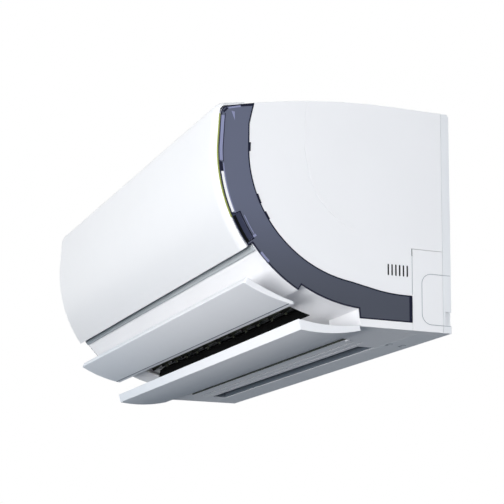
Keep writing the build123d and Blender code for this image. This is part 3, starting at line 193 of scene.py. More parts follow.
def metal(name, colour, roughness, stretch=(1, 1, 1), shade=0.08):
    """Bare metal with faint drawing or rolling marks along the stretched axis."""
    material, tree, shader = new_material(name)
    base = srgb(colour)
    shader.inputs["Metallic"].default_value = 1.0
    marks = noise(tree, *METAL_NOISE, stretch)
    tone = mixed(tree, spread(tree, marks, 0.0, 1.0), base, duller(base, shade))
    tree.links.new(tone, shader.inputs["Base Color"])
    low, high = (roughness * share for share in METAL_SWING)
    tree.links.new(spread(tree, marks, low, high), shader.inputs["Roughness"])
    return material


def zinc(name):
    """Zinc-plated sheet with its crystal pattern."""
    material, tree, shader = new_material(name)
    shader.inputs["Metallic"].default_value = 0.85
    coordinates = tree.nodes.new("ShaderNodeTexCoord")
    cells = tree.nodes.new("ShaderNodeTexVoronoi")
    cells.inputs["Scale"].default_value = ZINC_CRYSTALS
    tree.links.new(coordinates.outputs["Object"], cells.inputs["Vector"])
    ramp = tree.nodes.new("ShaderNodeValToRGB")
    ramp.color_ramp.elements[0].color = srgb("A3A8AC")
    ramp.color_ramp.elements[1].color = srgb("C6CACD")
    tree.links.new(cells.outputs["Color"], ramp.inputs["Fac"])
    tree.links.new(ramp.outputs["Color"], shader.inputs["Base Color"])
    shader.inputs["Roughness"].default_value = 0.38
    return material


MATERIALS = {
    "white_cover": moulded("satin white cover", "F4F4F6", 0.42, shade=0.012, grain=0.05,
                           specular=0.25),
    "white_casing": moulded("plain white moulding", "EBEDF0", 0.5, grain=0.1),
    "panel_gloss": moulded("glossy white panel", "E7E8EA", 0.3, shade=0.006, specular=0.3),
    # the flaps' bluish grey is partly their own colour and partly painted shade; the fade is
    # painted shade, darker towards the left end
    "flap_white": moulded("satin white flap with painted shade", "DFE4EA", 0.42, shade=0.012, grain=0.05,
                          specular=0.25, fade=("ECEDF0", "X", -0.38, 0.20)),
    # painted shading: the band is darker towards the bottom and lighter towards the top
    "dark_trim": moulded("smoky slate trim with painted shade", "474B57", 0.42, shade=0.05, specular=0.3,
                         fade=("5E6377", "Z", -0.13, 0.01)),
    "trim_edge": moulded("dark trim edge", "14162A", 0.5, specular=0.15),
    "trim_pale": moulded("pale clear edge and painted glint", "8A8EB0", 0.25),
    "seal": moulded("olive seal", "8C9434", 0.5),
    "shadow_line": moulded("shadow line", "A4A9B0", 0.6, specular=0.1),
    # slate grey: painted shade in the pipe recess, the underside grooves and along the upper
    # flap's tail, and the colour of the latch seams
    "slate_lining": moulded("slate grey for painted shade and seams", "646C76", 0.6, specular=0.1),
    # near black: painted shade in the sensor slots and over the outlet's white sill and lip, and
    # the colour of the dark lens strip and the vane rail
    "felt": moulded("black felt and painted shade", "08090A", 0.9, specular=0.1),
    "lens": moulded("dark receiver lens", "363A50", 0.3, specular=0.15),
    # painted shade: the strip is darker towards the left end
    "silver": moulded("silver strip with painted shade", "9BA3A8", 0.5, shade=0.04, specular=0.12,
                      fade=("B4BABE", "X", -0.38, 0.30)),
    "dark_duct": moulded("dark olive duct", "474B42", 0.6, shade=0.06, grain=0.1, specular=0.2),
    "dark_fan": moulded("black fan drum", "26282B", 0.42, shade=0.08),
    "vane_dark": moulded("dark vane", "161817", 0.6, shade=0.06, specular=0.15,
                         fade=("6A7060", "Z", -0.122, -0.110)),
    "filter": moulded("grey filter frame", "868D94", 0.55, shade=0.05),
    "net": moulded("fine grey net", "5B6268", 0.6, specular=0.2),
    "fins": metal("aluminium fins", "D5DBE0", 0.35, (1, 30, 30)),
    "sheet_steel": zinc("zinc sheet"),
    "zinc_plate": zinc("zinc wall plate"),
    "copper": metal("copper tube", "C5764C", 0.3, (30, 1, 1)),
    "brass": metal("turned brass", "CFA95B", 0.28, (40, 1, 1)),
    "rubber": moulded("black rubber", "1B1B1C", 0.7, shade=0.1),
    "steel": metal("ground steel", "B9BBBE", 0.25, (60, 1, 1)),
    "board": moulded("green circuit board", "2F6B41", 0.45, shade=0.1),
    "terminals": moulded("cream terminal block", "E3E0D2", 0.5, shade=0.04),
}


def paint(node, slot):
    """Gives a CAD node one material all over."""
    mesh = nodes[node].data
    mesh.materials.clear()
    mesh.materials.append(MATERIALS[slot])
    for face in mesh.polygons:
        face.material_index = 0


for part in frame["record"]["subparts"]:
    paint(part["node"], part["material_slot"])
paint("vane_rail", "felt")


# ---- sizes of the unit ---------------------------------------------------------------
ENDS = ((1, "right"), (-1, "left"))
HALF = 399.0                     # half the unit's length
ARC = (-118.0, 212.0)            # centre (y, z) of the rounded front
FACE_R = 212.0                   # outer face of the panel
END_R = 205.0                    # front edge of the dark band
SKIN_R = 198.0                   # lower cover
LEAF_R = 190.0                   # floor of the outlet
BROW = (-327.5, 271.5)           # corner (y, z) that the panel's top edge is rounded from
BROW_R = 16.0
OUTLET_LEFT = -325.0
OUTLET_RIGHT = 310.0
UPPER_OPEN = 20.0                # degrees that the upper flap stands open at rest


def at(radius, angle):
    """The point (y, z) at this radius and angle about the centre of the rounded front."""
    return (ARC[0] - radius * sin(radians(angle)), ARC[1] - radius * cos(radians(angle)))


def place(x, y, z):
    """A point in millimetres above the underside, as metres in the part's frame."""
    return Vector((x * MM, y * MM, (z - PLATE_Z) * MM))


UPPER_PIVOT = at(195.0, 26.83)


# ---- meshes --------------------------------------------------------------------------
WELD = 2e-6              # metres within which two corners of a CAD mesh are one
FLAT = 0.5               # degrees below which two neighbouring faces are one
SOFT_FROM = 38.0         # edges sharper than this many degrees are rounded off
SMOOTH_TO = 40.0         # edges blunter than this many degrees shade as one surface


def new_piece(name, mesh, slot, body, *replaced):
    """Adds a finished mesh to the scene as one piece of that body."""
    piece = add_object(name, mesh)
    mesh.materials.clear()
    mesh.materials.append(MATERIALS[slot])
    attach(piece, body)
    if replaced:
        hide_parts(*replaced)
    return piece


def new_mesh(name, points, faces):
    """A mesh whose faces all look outwards."""
    mesh = bpy.data.meshes.new(name)
    mesh.from_pydata(points, [], faces)
    work = bmesh.new()
    work.from_mesh(mesh)
    bmesh.ops.recalc_face_normals(work, faces=work.faces)
    work.to_mesh(mesh)
    work.free()
    return mesh


def plain_result(carrier, name):
    """The mesh that an object's modifiers give; the object itself is thrown away."""
    shown = carrier.evaluated_get(bpy.context.evaluated_depsgraph_get())
    result = bpy.data.meshes.new_from_object(shown)
    carrier.modifiers.clear()
    mesh = carrier.data
    bpy.data.objects.remove(carrier)
    bpy.data.meshes.remove(mesh)
    result.name = name
    return result


def plain_faces(node):
    """The node's mesh with each flat area made one face, open for editing."""
    work = bmesh.new()
    work.from_mesh(nodes[node].data)
    bmesh.ops.remove_doubles(work, verts=work.verts, dist=WELD)
    bmesh.ops.dissolve_limit(work, angle_limit=radians(FLAT), verts=work.verts,
                             edges=work.edges, use_dissolve_boundaries=False)
    return work


def softened(node, slot, body, width):
    """The node's own shape with its sharp edges rounded off by a small radius."""
    name = node + "_soft"
    mesh = bpy.data.meshes.new(name)
    work = plain_faces(node)
    work.to_mesh(mesh)
    work.free()
    mesh.shade_smooth()
    carrier = add_object(name, mesh)
    bevel = carrier.modifiers.new("soft edges", "BEVEL")
    bevel.width = width * MM
    bevel.segments = 2
    bevel.limit_method = "ANGLE"
    bevel.angle_limit = radians(SOFT_FROM)
    bevel.use_clamp_overlap = True
    shading = carrier.modifiers.new("flat shading", "WEIGHTED_NORMAL")
    shading.keep_sharp = True
    shading.weight = 90
    shading.mode = "FACE_AREA_WITH_ANGLE"
    return new_piece(name, plain_result(carrier, name), slot, body, node)


def grid_shell(name, outer, inner):
    """Closed shell between two grids of points with the same rows and columns."""
    rows, columns = len(outer), len(outer[0])
    points = [p for row in outer for p in row] + [p for row in inner for p in row]
    offset = rows * columns

    def quad(r, c, base):
        corner = base + r * columns + c
        return corner, corner + 1, corner + columns + 1, corner + columns

    cells = [(r, c) for r in range(rows - 1) for c in range(columns - 1)]
    faces = [quad(r, c, 0) for r, c in cells]
    faces += [quad(r, c, offset)[::-1] for r, c in cells]
    rim = [(0, c) for c in range(columns)]
    rim += [(r, columns - 1) for r in range(1, rows)]
    rim += [(rows - 1, c) for c in range(columns - 2, -1, -1)]
    rim += [(r, 0) for r in range(rows - 2, 0, -1)]
    ids = [r * columns + c for r, c in rim]
    for a, b in zip(ids, ids[1:] + ids[:1]):
        faces.append((b, a, a + offset, b + offset))
    return new_mesh(name, points, faces)


# ---- front panel ---------------------------------------------------------------------
PANEL_LOW = 53.0                 # angle of its lower edge
PANEL_REAR = (-289.0, 277.8)     # its rear top edge (y, z)
PANEL_X = 397.0
PANEL_T = 2.8
PANEL_END = 17.0                 # length over which its ends turn in
PANEL_TURN = 6.2                 # how far they turn in
PANEL_END_STEPS = 14
PANEL_SPANS = 16                 # equal lengths between its ends
PANEL_BACK_TURN = 0.45           # how much of the turn its back follows
PANEL_BACK_GAP = 0.05            # least extra depth, so that front and back never meet


def rounded_corner(corner, before, after, radius, steps):
    """Points of an arc that rounds the corner between two straight lines."""
    corner, before, after = Vector(corner), Vector(before), Vector(after)
    u = (before - corner).normalized()
    v = (after - corner).normalized()
    half = u.angle(v) / 2
    reach = radius / sin(half) * cos(half)
    centre = corner + (u + v).normalized() * radius / sin(half)
    start, end = corner + u * reach - centre, corner + v * reach - centre
    full = start.angle(end)
    points = []
    for i in range(steps + 1):
        t = i / steps
        blend = (sin((1 - t) * full) * start + sin(t * full) * end) / sin(full)
        points.append(centre + blend)
    return points


def panel_profile():
    """Outer line of the panel from its lower edge to its rear top edge, with normals."""
    line = [Vector(at(FACE_R, PANEL_LOW + (90 - PANEL_LOW) * i / 40)) for i in range(41)]
    foot = line[-1]
    corner = rounded_corner(BROW, foot, PANEL_REAR, BROW_R, 12)
    line += [foot.lerp(corner[0], i / 8) for i in range(1, 8)]
    line += corner
    line += [corner[-1].lerp(Vector(PANEL_REAR), i / 3) for i in range(1, 4)]
    normals = []
    for i in range(len(line)):
        ahead = line[min(i + 1, len(line) - 1)] - line[max(i - 1, 0)]
        normals.append(Vector((-ahead.y, ahead.x)).normalized())
    return line, normals


def panel_stations():
    """Places along the panel, close together where its ends turn in, and their depth."""
    flat = PANEL_X - PANEL_END
    right = []
    for i in range(PANEL_END_STEPS + 1):
        angle = pi / 2 * i / PANEL_END_STEPS
        right.append((flat + PANEL_END * sin(angle), PANEL_TURN * (1 - cos(angle))))
    left = [(-x, depth) for x, depth in reversed(right)]
    middle = [(-flat + flat * 2 * i / PANEL_SPANS, 0.0) for i in range(1, PANEL_SPANS)]
    return left + middle + right


def front_panel():
    """Glossy panel whose ends turn in, in place of the plain one."""
    line, normals = panel_profile()
    outer, inner = [], []
    for x, depth in panel_stations():
        outer.append([place(x, *(p - n * depth)) for p, n in zip(line, normals)])
        inside = max(-PANEL_X + PANEL_T, min(PANEL_X - PANEL_T, x))
        reach = max(depth, PANEL_T + depth * PANEL_BACK_TURN) + PANEL_BACK_GAP
        inner.append([place(inside, *(p - n * reach)) for p, n in zip(line, normals)])
    mesh = grid_shell("front_panel_gloss", outer, inner)
    mesh.shade_smooth()
    mesh.set_sharp_from_angle(angle=radians(SMOOTH_TO))
    new_piece("front_panel_gloss", mesh, "panel_gloss", "panel", "front_panel")


# ---- small solids --------------------------------------------------------------------
def join_solids(name, solids):
    """One mesh from a list of (points, faces)."""
    points, faces = [], []
    for own_points, own_faces in solids:
        start = len(points)
        points += own_points
        faces += [tuple(start + i for i in face) for face in own_faces]
    return new_mesh(name, points, faces)


def prism(outline, x0, x1):
    """Points and faces of an outline in (y, z) carried along X."""
    n = len(outline)
    points = [place(x, y, z) for x in (x0, x1) for y, z in outline]
    faces = [tuple(range(n)), tuple(range(2 * n - 1, n - 1, -1))]
    faces += [(i, i + n, (i + 1) % n + n, (i + 1) % n) for i in range(n)]
    return points, faces


def box(x0, x1, y0, y1, z0, z1):
    """Points and faces of a box between these planes."""
    return prism([(y0, z0), (y1, z0), (y1, z1), (y0, z1)], x0, x1)


def bar_between(start, end, width):
    """Outline of a straight bar in (y, z) between two points."""
    side = (end - start).orthogonal().normalized() * width / 2
    return [start + side, end + side, end - side, start - side]


def band_outline(radius, width, low, high, steps):
    """Outline in (y, z) of a curved strip just inside a radius, from one angle to another."""
    angles = [low + (high - low) * i / steps for i in range(steps + 1)]
    return [at(radius, angle) for angle in angles] + \
        [at(radius - width, angle) for angle in reversed(angles)]


def ribbon(path, width, x0, x1):
    """Points and faces of a strip of this width along a path in (y, z)."""
    points = []
    for i, point in enumerate(path):
        ahead = (path[min(i + 1, len(path) - 1)] - path[max(i - 1, 0)]).normalized()
        side = Vector((-ahead.y, ahead.x)) * width / 2
        points += [place(x, *(point + side * way))
                   for x, way in ((x0, 1), (x1, 1), (x1, -1), (x0, -1))]
    last = 4 * (len(path) - 1)
    faces = [(0, 1, 2, 3), (last + 3, last + 2, last + 1, last)]
    faces += [(4 * i + k, 4 * i + k + 4, 4 * i + (k + 1) % 4 + 4, 4 * i + (k + 1) % 4)
              for i in range(len(path) - 1) for k in range(4)]
    return points, faces


def end_reach(side, sunk, rise):
    """From and to along X of a detail sunk this deep in an end face and standing out of it."""
    return side * (HALF - sunk), side * (HALF + rise)


def thin(name, slot, body, *solids):
    """A small piece made of a few plain solids."""
    new_piece(name, join_solids(name, solids), slot, body)


def border(name, node, side, slot, inset, width, lift):
    """Thin raised line that follows the edge of a node's flat end face."""
    work = plain_faces(node)
    inner_x = (HALF - 0.5) * MM
    others = [face for face in work.faces
              if face.normal.x * side < 0.99 or abs(face.calc_center_median().x) < inner_x]
    bmesh.ops.delete(work, geom=others, context="FACES")
    for reach in (inset, width):
        middle = max(work.faces, key=lambda face: face.calc_area())
        ring = bmesh.ops.inset_region(work, faces=[middle], thickness=reach * MM,
                                      use_even_offset=True, use_boundary=True)["faces"]
    outside_ring = [face for face in work.faces if face not in ring]
    bmesh.ops.delete(work, geom=outside_ring, context="FACES")
    shell = bmesh.ops.extrude_face_region(work, geom=work.faces[:])
    moved = [item for item in shell["geom"] if isinstance(item, bmesh.types.BMVert)]
    bmesh.ops.translate(work, verts=moved, vec=(side * lift * MM, 0, 0))
    bmesh.ops.recalc_face_normals(work, faces=work.faces)
    mesh = bpy.data.meshes.new(name)
    work.to_mesh(mesh)
    work.free()
    new_piece(name, mesh, slot, "casing")


# ---- dark band -----------------------------------------------------------------------
BAND_STEP = 1.5          # degrees between the points of its lines
BAND_LEAN = 2.5          # how far its front edge leans back up to the top
SUNK = 0.4               # how deep a raised line starts below the end face
SEAL_SUNK = 3.0
BAND_INNER_R = 165.4     # just outside its inner edge
CLIP_WIDTH = 2.6
FOOT_EDGE = (-60.4, -57.2, 10.0, 45.0)      # y and z range of the line at its rear end


def edge_path(reach, low, high=90.0, top=None):
    """Line at this reach inside the band's front edge, from one angle to another and, where
    a top is given, straight on up to that height."""
    steps = max(2, int((high - low) / BAND_STEP))
    path = [Vector(at(END_R - reach, low + (high - low) * i / steps)) for i in range(steps + 1)]
    if top:
        lean = BAND_LEAN / (BROW[1] - 7 - ARC[1])
        path += [path[-1] + Vector((lean * rise, rise)) for rise in (20, top - path[-1].y)]
    return path


BAND_LINES = (
    # name, finish, width, how far it stands out of the end face, path
    ("seal", "seal", 0.9, 0.3, edge_path(-1.3, 64.5, 90, 255)),
    ("bevel", "trim_pale", 4.2, 0.4, edge_path(2.9, 85, 90, 253)),
    ("bevel_line", "trim_edge", 0.8, 0.42, edge_path(5.6, 84.5, 90, 256)),
    # painted highlight along the front edge, and its pale inner line
    ("glint", "white_cover", 3.4, 0.4, edge_path(3.0, 66, 81)),
    ("glint_line", "trim_pale", 1.2, 0.42, edge_path(5.5, 65.5, 84)),
    ("clip_front", "trim_edge", 3.0, 0.5, edge_path(2.6, 81, 84.5)),
    ("lens_shade", "felt", 3.8, 0.6, edge_path(2.4, 54, 64.6)),
    ("lens_line", "trim_pale", 0.8, 0.42, edge_path(15.4, 55.5, 63.5)),
    # painted reflection along the top edge
    ("top_glint", "trim_pale", 2.0, 0.46, [Vector((-311, 263.4)), Vector((-295, 267.8))]),
    ("top_corner", "trim_edge", 2.6, 0.44, [Vector((-317.6, 257.6)), Vector((-312.5, 263.4))]),
    ("top_edge", "trim_edge", 2.0, 0.44, [Vector((-295, 268.4)), Vector((-278, 271.6))]),
)
BAND_CLIPS = (
    # radius and the angles it lies between
    (BAND_INNER_R, 89.5, 93.5),
    (BAND_INNER_R - 1.2, 65.5, 70.0),
    (BAND_INNER_R - 2.2, 57.5, 61.5),
)
BAND_GLINTS = (
    # painted highlights: the pale catch below the lens, one on the lens's lower corner and the
    # glint under the top edge
    band_outline(SKIN_R - 0.6, 3.0, 44.0, 48.5, 4),
    band_outline(192.5, 4.5, 54.4, 55.3, 2),
    [(-307.0, 260.0), (-302.6, 259.6), (-302.3, 248.6)],
)


def band_details():
    """Dark border, clips, clear edge and painted reflections of the band on each end."""
    for side, name in ENDS:
        border("band_border_" + name, "side_trim_" + name, side, "trim_edge", 0.15, 1.5, 0.25)
        for line, finish, width, rise, path in BAND_LINES:
            reach = end_reach(side, SEAL_SUNK if line == "seal" else SUNK, rise)
            thin(f"band_{line}_{name}", finish, "casing", ribbon(path, width, *reach))
        clips = [prism(band_outline(radius, CLIP_WIDTH, low, high, 4), *end_reach(side, 0.5, 0.7))
                 for radius, low, high in BAND_CLIPS]
        clips.append(box(*end_reach(side, 0.5, 0.3), *FOOT_EDGE))
        thin("band_clips_" + name, "trim_edge", "casing", *clips)
        glints = [prism(outline, *end_reach(side, SUNK, 0.4)) for outline in BAND_GLINTS]
        thin("band_glints_" + name, "trim_pale", "casing", *glints)


# ---- sensor slots, outlet and underside ----------------------------------------------
SLOT_COUNT = 6
SLOT_Y = -90.0                   # first slot
SLOT_PITCH = 5.4
SLOT_WIDTH = 2.15
SLOT_LOW, SLOT_HIGH = 69.1, 83.9
SLOT_X = (395.6, 398.85)         # the painted shade lies just below the cover's face
RECESS = (-330.0, 256.0, -66.0, -42.0, 9.0)     # ends, front, back and depth
GROOVES_Y = (-88, -75)
GROOVE_LEFT, GROOVE_RIGHT = -330.0, 286.0
LATCHES = ((288, -37.7), (285, -16.5))          # middle of each latch mark (x, y)
LATCH_HALF = 7
FLAP_SHADE_LINE = (30.4, 30.75)        # angles of the painted shade line on the upper flap when it is shut


def rounded_slot(y, low, high, width, steps=6):
    """Outline in (y, z) of an upright slot with round ends."""
    radius = width / 2
    turns = [pi * i / steps for i in range(steps + 1)]
    return [(y + radius * cos(a), high - radius + radius * sin(a)) for a in turns] + \
        [(y - radius * cos(a), low + radius - radius * sin(a)) for a in turns]


def sensor_slots():
    """Painted shade: a near-black sheet that shows in the slots in front of the room sensor."""
    slots = [rounded_slot(SLOT_Y + SLOT_PITCH * i, SLOT_LOW, SLOT_HIGH, SLOT_WIDTH)
             for i in range(SLOT_COUNT)]
    thin("sensor_felt", "felt", "casing", *(prism(slot, *SLOT_X) for slot in slots))


def outlet_details():
    """Painted shade over the white sill in front of the outlet's floor and over its lip, and the
    line behind the lower flap.
    """
    radius, left = LEAF_R + 0.5, OUTLET_LEFT + 1
    # the near black covers the white sill and lip where the outlet lies in shade
    sill = prism(band_outline(radius, 0.8, 4.2, 13.4, 6), left, OUTLET_RIGHT - 48)
    lip = prism(band_outline(radius, 10.0, 12.8, 14.4, 2), left, OUTLET_RIGHT - 1)
    thin("outlet_sill", "felt", "casing", sill, lip)
    line = box(OUTLET_LEFT + 2, OUTLET_RIGHT - 6, -105.0, -103.5, 0.1, 2.5)
    thin("hinge_line", "dark_duct", "casing", line)
    thin("hinge_cap", "white_cover", "casing", box(294, 301, -102.6, -99.0, -1.8, 0.4))


def underside_details():
    """Painted shade in the recess for the pipes and in the two grooves, and the marks of two
    latches.
    """
    left, right, front, back, depth = RECESS
    near, far, rim = 0.1, 0.7, 0.5      # the painted shade's faces from the wall, and its lower edge
    front_in, back_in = front + far + near, back - far - near
    recess_shade = [
        box(left, right, front, back, depth - near - 0.5, depth - near),
        box(left, right, front + near, front + far, rim, depth - near),
        box(left, right, back - far, back - near, rim, depth - near),
        box(left + near, left + far, front_in, back_in, rim, depth - far),
        box(right - far, right - near, front_in, back_in, rim, depth - far),
    ]
    thin("recess_lining", "slate_lining", "casing", *recess_shade)
    grooves = [box(GROOVE_LEFT + 0.4, GROOVE_RIGHT - 0.4, y + 0.3, y + 1.7, 0.5, 1.1)
               for y in GROOVES_Y]
    thin("groove_lining", "slate_lining", "casing", *grooves)
    marks = []
    for x, y in LATCHES:
        start, end = x - LATCH_HALF, x + LATCH_HALF
        for x0, x1, y0, y1 in ((start, end, y - 0.5, y + 0.5), (start, start + 1, y, y + 5),
                               (end - 1, end, y, y + 5)):
            marks.append(box(x0, x1, y0, y1, -0.25, 0.2))
    thin("latch_marks", "slate_lining", "casing", *marks)


def turned(point, pivot, angle):
    """A point (y, z) turned about an axis along X through the pivot."""
    y, z = point[0] - pivot[0], point[1] - pivot[1]
    c, s = cos(radians(angle)), sin(radians(angle))
    return (pivot[0] + y * c - z * s, pivot[1] + y * s + z * c)


def flap_details():
    """Painted shade: a fine grey line along the tail of the upper flap."""
    line = band_outline(FACE_R + 0.25, 0.7, *FLAP_SHADE_LINE, 3)
    line = [turned(point, UPPER_PIVOT, UPPER_OPEN) for point in line]
    thin("upper_flap_line", "slate_lining", "upper_flap", prism(line, -386, 386))


# ---- repeating a shape with Geometry Nodes -------------------------------------------
def node_group(name, **sockets):
    """Empty geometry group with named inputs, and its input and output nodes."""
    group = bpy.data.node_groups.new(name, "GeometryNodeTree")
    group.interface.new_socket("Geometry", in_out="INPUT", socket_type="NodeSocketGeometry")
    for label, kind in sockets.items():
        group.interface.new_socket(label, in_out="INPUT", socket_type="NodeSocket" + kind)
    group.interface.new_socket("Geometry", in_out="OUTPUT", socket_type="NodeSocketGeometry")
    return group, group.nodes.new("NodeGroupInput"), group.nodes.new("NodeGroupOutput")


def placed_copies(group, given, points, shape, turn=None):
    """Copies of a shape on points, made real and given their material."""
    copies = group.nodes.new("GeometryNodeInstanceOnPoints")
    real = group.nodes.new("GeometryNodeRealizeInstances")
    coat = group.nodes.new("GeometryNodeSetMaterial")
    group.links.new(points, copies.inputs["Points"])
    group.links.new(shape, copies.inputs["Instance"])
    if turn:
        group.links.new(turn, copies.inputs["Rotation"])
    group.links.new(copies.outputs["Instances"], real.inputs["Geometry"])
    group.links.new(real.outputs["Geometry"], coat.inputs["Geometry"])
    group.links.new(given.outputs["Material"], coat.inputs["Material"])
    return coat.outputs["Geometry"]


def row_group():
    """Repeats the shape it is given in a straight row."""
    group, given, result = node_group("row of shapes", Count="Int", Step="Vector",
                                      Material="Material")
    line = group.nodes.new("GeometryNodeMeshLine")
    line.mode = "OFFSET"
    group.links.new(given.outputs["Count"], line.inputs["Count"])
    group.links.new(given.outputs["Step"], line.inputs["Offset"])
    done = placed_copies(group, given, line.outputs["Mesh"], given.outputs["Geometry"])
    group.links.new(done, result.inputs["Geometry"])
    return group


def spots_group():
    """Puts a shape on every point it is given, turned to that point's facing."""
    group, given, result = node_group("shape on spots", Shape="Object", Material="Material")
    shape = group.nodes.new("GeometryNodeObjectInfo")
    group.links.new(given.outputs["Shape"], shape.inputs["Object"])
    facing = group.nodes.new("GeometryNodeInputNamedAttribute")
    facing.data_type = "FLOAT_VECTOR"
    facing.inputs["Name"].default_value = "facing"
    turn = group.nodes.new("FunctionNodeAlignRotationToVector")
    turn.axis = "Z"
    group.links.new(facing.outputs["Attribute"], turn.inputs["Vector"])
    done = placed_copies(group, given, given.outputs["Geometry"], shape.outputs["Geometry"],
                         turn.outputs["Rotation"])
    group.links.new(done, result.inputs["Geometry"])
    return group


def repeated(name, mesh, group, slot, body, **settings):
    """Runs a geometry group on a mesh and adds the plain result as one piece."""
    carrier = add_object(name, mesh)
    modifier = carrier.modifiers.new(name, "NODES")
    modifier.node_group = group
    settings["Material"] = MATERIALS[slot]
    for socket in group.interface.items_tree:
        if socket.in_out == "INPUT" and socket.name in settings:
            modifier[socket.identifier] = settings[socket.name]
    new_piece(name, plain_result(carrier, name), slot, body)


def in_row(name, solid, row, slot, body, count, pitch):
    """One solid repeated along X as one piece."""
    repeated(name, join_solids(name, [solid]), row, slot, body,
             Count=count, Step=(pitch * MM, 0, 0))


def spots(name, places):
    """Mesh of single points, each with the way it faces; places are (point, facing)."""
    mesh = bpy.data.meshes.new(name)
    mesh.from_pydata([place(*point) for point, facing in places], [], [])
    facings = mesh.attributes.new("facing", "FLOAT_VECTOR", "POINT")
    for i, (point, facing) in enumerate(places):
        facings.data[i].vector = facing
    return mesh


# ---- fins of the heat exchanger ------------------------------------------------------
FIN_PITCH = 1.6
FIN_LEFT = -322.5
FIN_COUNT = 394
FIN_T = 0.3
FIN_RISE = 0.5           # how far the fins stand out of the solid pack behind them
PACK_T = 26.0
FIN_PACKS = {
    # both ends (y, z) of each pack's middle line
    "front_lower": (Vector((-259, 196)), Vector((-250, 110.5))),
    "front_upper": (Vector((-156, 254)), Vector((-252, 212))),
    "rear": (Vector((-128, 254)), Vector((-40, 196))),
}


def fins(row):
    """Edges of the fins on the three packs of the heat exchanger."""
    for name, (start, end) in FIN_PACKS.items():
        run = (end - start).normalized() * FIN_RISE
        outline = bar_between(start - run, end + run, PACK_T + 2 * FIN_RISE)
        fin = prism(outline, FIN_LEFT, FIN_LEFT + FIN_T)
        in_row("fins_" + name, fin, row, "fins", "casing", FIN_COUNT, FIN_PITCH)


# ---- net of the air filters ----------------------------------------------------------
THREAD = 0.3
THREAD_PITCH = 3.2
FILTER_R = 188.0
FILTER_TURN_R = 46.0     # bend of the filter behind the brow
FILTERS = {"left": (-326.0, -9.0), "right": (-6.0, 311.0)}


def filter_path():
    """Middle line of a filter from its lower front edge to its rear edge."""
    low = [Vector(at(FILTER_R, 63 + 3 * i)) for i in range(10)]
    bend = rounded_corner((-306, 263.2), (-306, 212), (-44, 280), FILTER_TURN_R, 10)
    return low + bend + [Vector((-45.5, 279.9))]


def spaced(path, pitch):
    """Points at an even pitch along a path, each with the direction square to it."""
    found, walked, target = [], 0.0, 0.0
    for start, end in zip(path, path[1:]):
        length = (end - start).length
        ahead = (end - start).normalized()
        while target <= walked + length:
            found.append((start + ahead * (target - walked), Vector((-ahead.y, ahead.x))))
            target += pitch
        walked += length
    return found


def plain_box(name, length, width, height):
    """Mesh of a box about the origin."""
    x, y, z = length / 2 * MM, width / 2 * MM, height / 2 * MM
    points = [(i, j, k) for k in (-z, z) for i, j in ((-x, -y), (x, -y), (x, y), (-x, y))]
    faces = [(3, 2, 1, 0), (4, 5, 6, 7), (0, 1, 5, 4), (1, 2, 6, 5), (2, 3, 7, 6), (3, 0, 4, 7)]
    return new_mesh(name, points, faces)


def filter_threads(row, on_spots):
    """The fine net of both air filters: upright threads in a row and cross threads."""
    path = filter_path()
    for name, (left, right) in FILTERS.items():
        thread = ribbon(path, THREAD, left, left + THREAD)
        count = int((right - left) / THREAD_PITCH) + 1
        in_row("filter_net_" + name, thread, row, "net", "casing", count, THREAD_PITCH)
        middle = (left + right) / 2
        places = [((middle, *point), (0, *facing)) for point, facing in spaced(path, THREAD_PITCH)]
        cross = add_object("cross_thread", plain_box("cross_thread", right - left, THREAD, THREAD))
        repeated("filter_cross_net_" + name, spots("cross_threads", places), on_spots,
                 "net", "casing", Shape=cross)
        bpy.data.objects.remove(cross)


# ---- screws --------------------------------------------------------------------------
SCREW_R = 3.2
SCREW_H = 1.6
SCREW_STEPS = 24
CROSS = (2.3, 1.9, 0.8, 0.65, 0.8, 1.9)     # radii around one arm of the pressed cross
LID_X = 368.5
LID_SCREWS = ((-279, 127), (-279, 227), (-212, 127), (-212, 227))           # y, z
FRAME_R = 201.2
FRAME_SCREWS = ((-345, 60), (-7, 60), (345, 60), (-371, 78), (371, 78))     # x, angle


def screw_head():
    """Round screw head with a pressed cross."""
    steps = SCREW_STEPS
    cross = [CROSS[i % len(CROSS)] for i in range(steps)]
    rings = [[(radius, height)] * steps for radius, height in
             ((SCREW_R, -0.3), (SCREW_R, SCREW_H * 0.6), (SCREW_R * 0.84, SCREW_H))]
    rings.append([(radius, SCREW_H) for radius in cross])
    rings.append([(radius * 0.8, SCREW_H * 0.35) for radius in cross])
    points, faces = [], []
    for ring in rings:
        for i, (radius, height) in enumerate(ring):
            angle = 2 * pi * i / steps
            points.append((radius * cos(angle) * MM, radius * sin(angle) * MM, height * MM))
    for r in range(len(rings) - 1):
        for i in range(steps):
            a, b = r * steps + i, r * steps + (i + 1) % steps
            faces.append((a, b, b + steps, a + steps))
    faces.append(tuple(range(steps - 1, -1, -1)))
    faces.append(tuple(range((len(rings) - 1) * steps, len(rings) * steps)))
    return new_mesh("screw_head", points, faces)


def screws(on_spots):
    """Screws of the control box lid and of the inner frame behind the panel."""
    screw = add_object("screw", screw_head())
    lid = [((LID_X, y, z), (1, 0, 0)) for y, z in LID_SCREWS]
    repeated("lid_screws", spots("lid_spots", lid), on_spots, "steel", "casing", Shape=screw)
    front = [((x, *at(FRAME_R, angle)), (0, -sin(radians(angle)), -cos(radians(angle))))
             for x, angle in FRAME_SCREWS]
    repeated("frame_screws", spots("frame_spots", front), on_spots, "steel", "casing",
             Shape=screw)
    bpy.data.objects.remove(screw)


# ---- ribs of the panel ---------------------------------------------------------------
RIB_R = 209.3            # the panel's back
RIB_DEEP = 5.0
RIB_COUNT = 12
RIB_LEFT = -330.0
RIB_T = 1.4
RIB_PITCH = 59.9
LONG_RIB_ANGLES = (58, 67.5, 77, 86.5)
LONG_RIB_X = 352


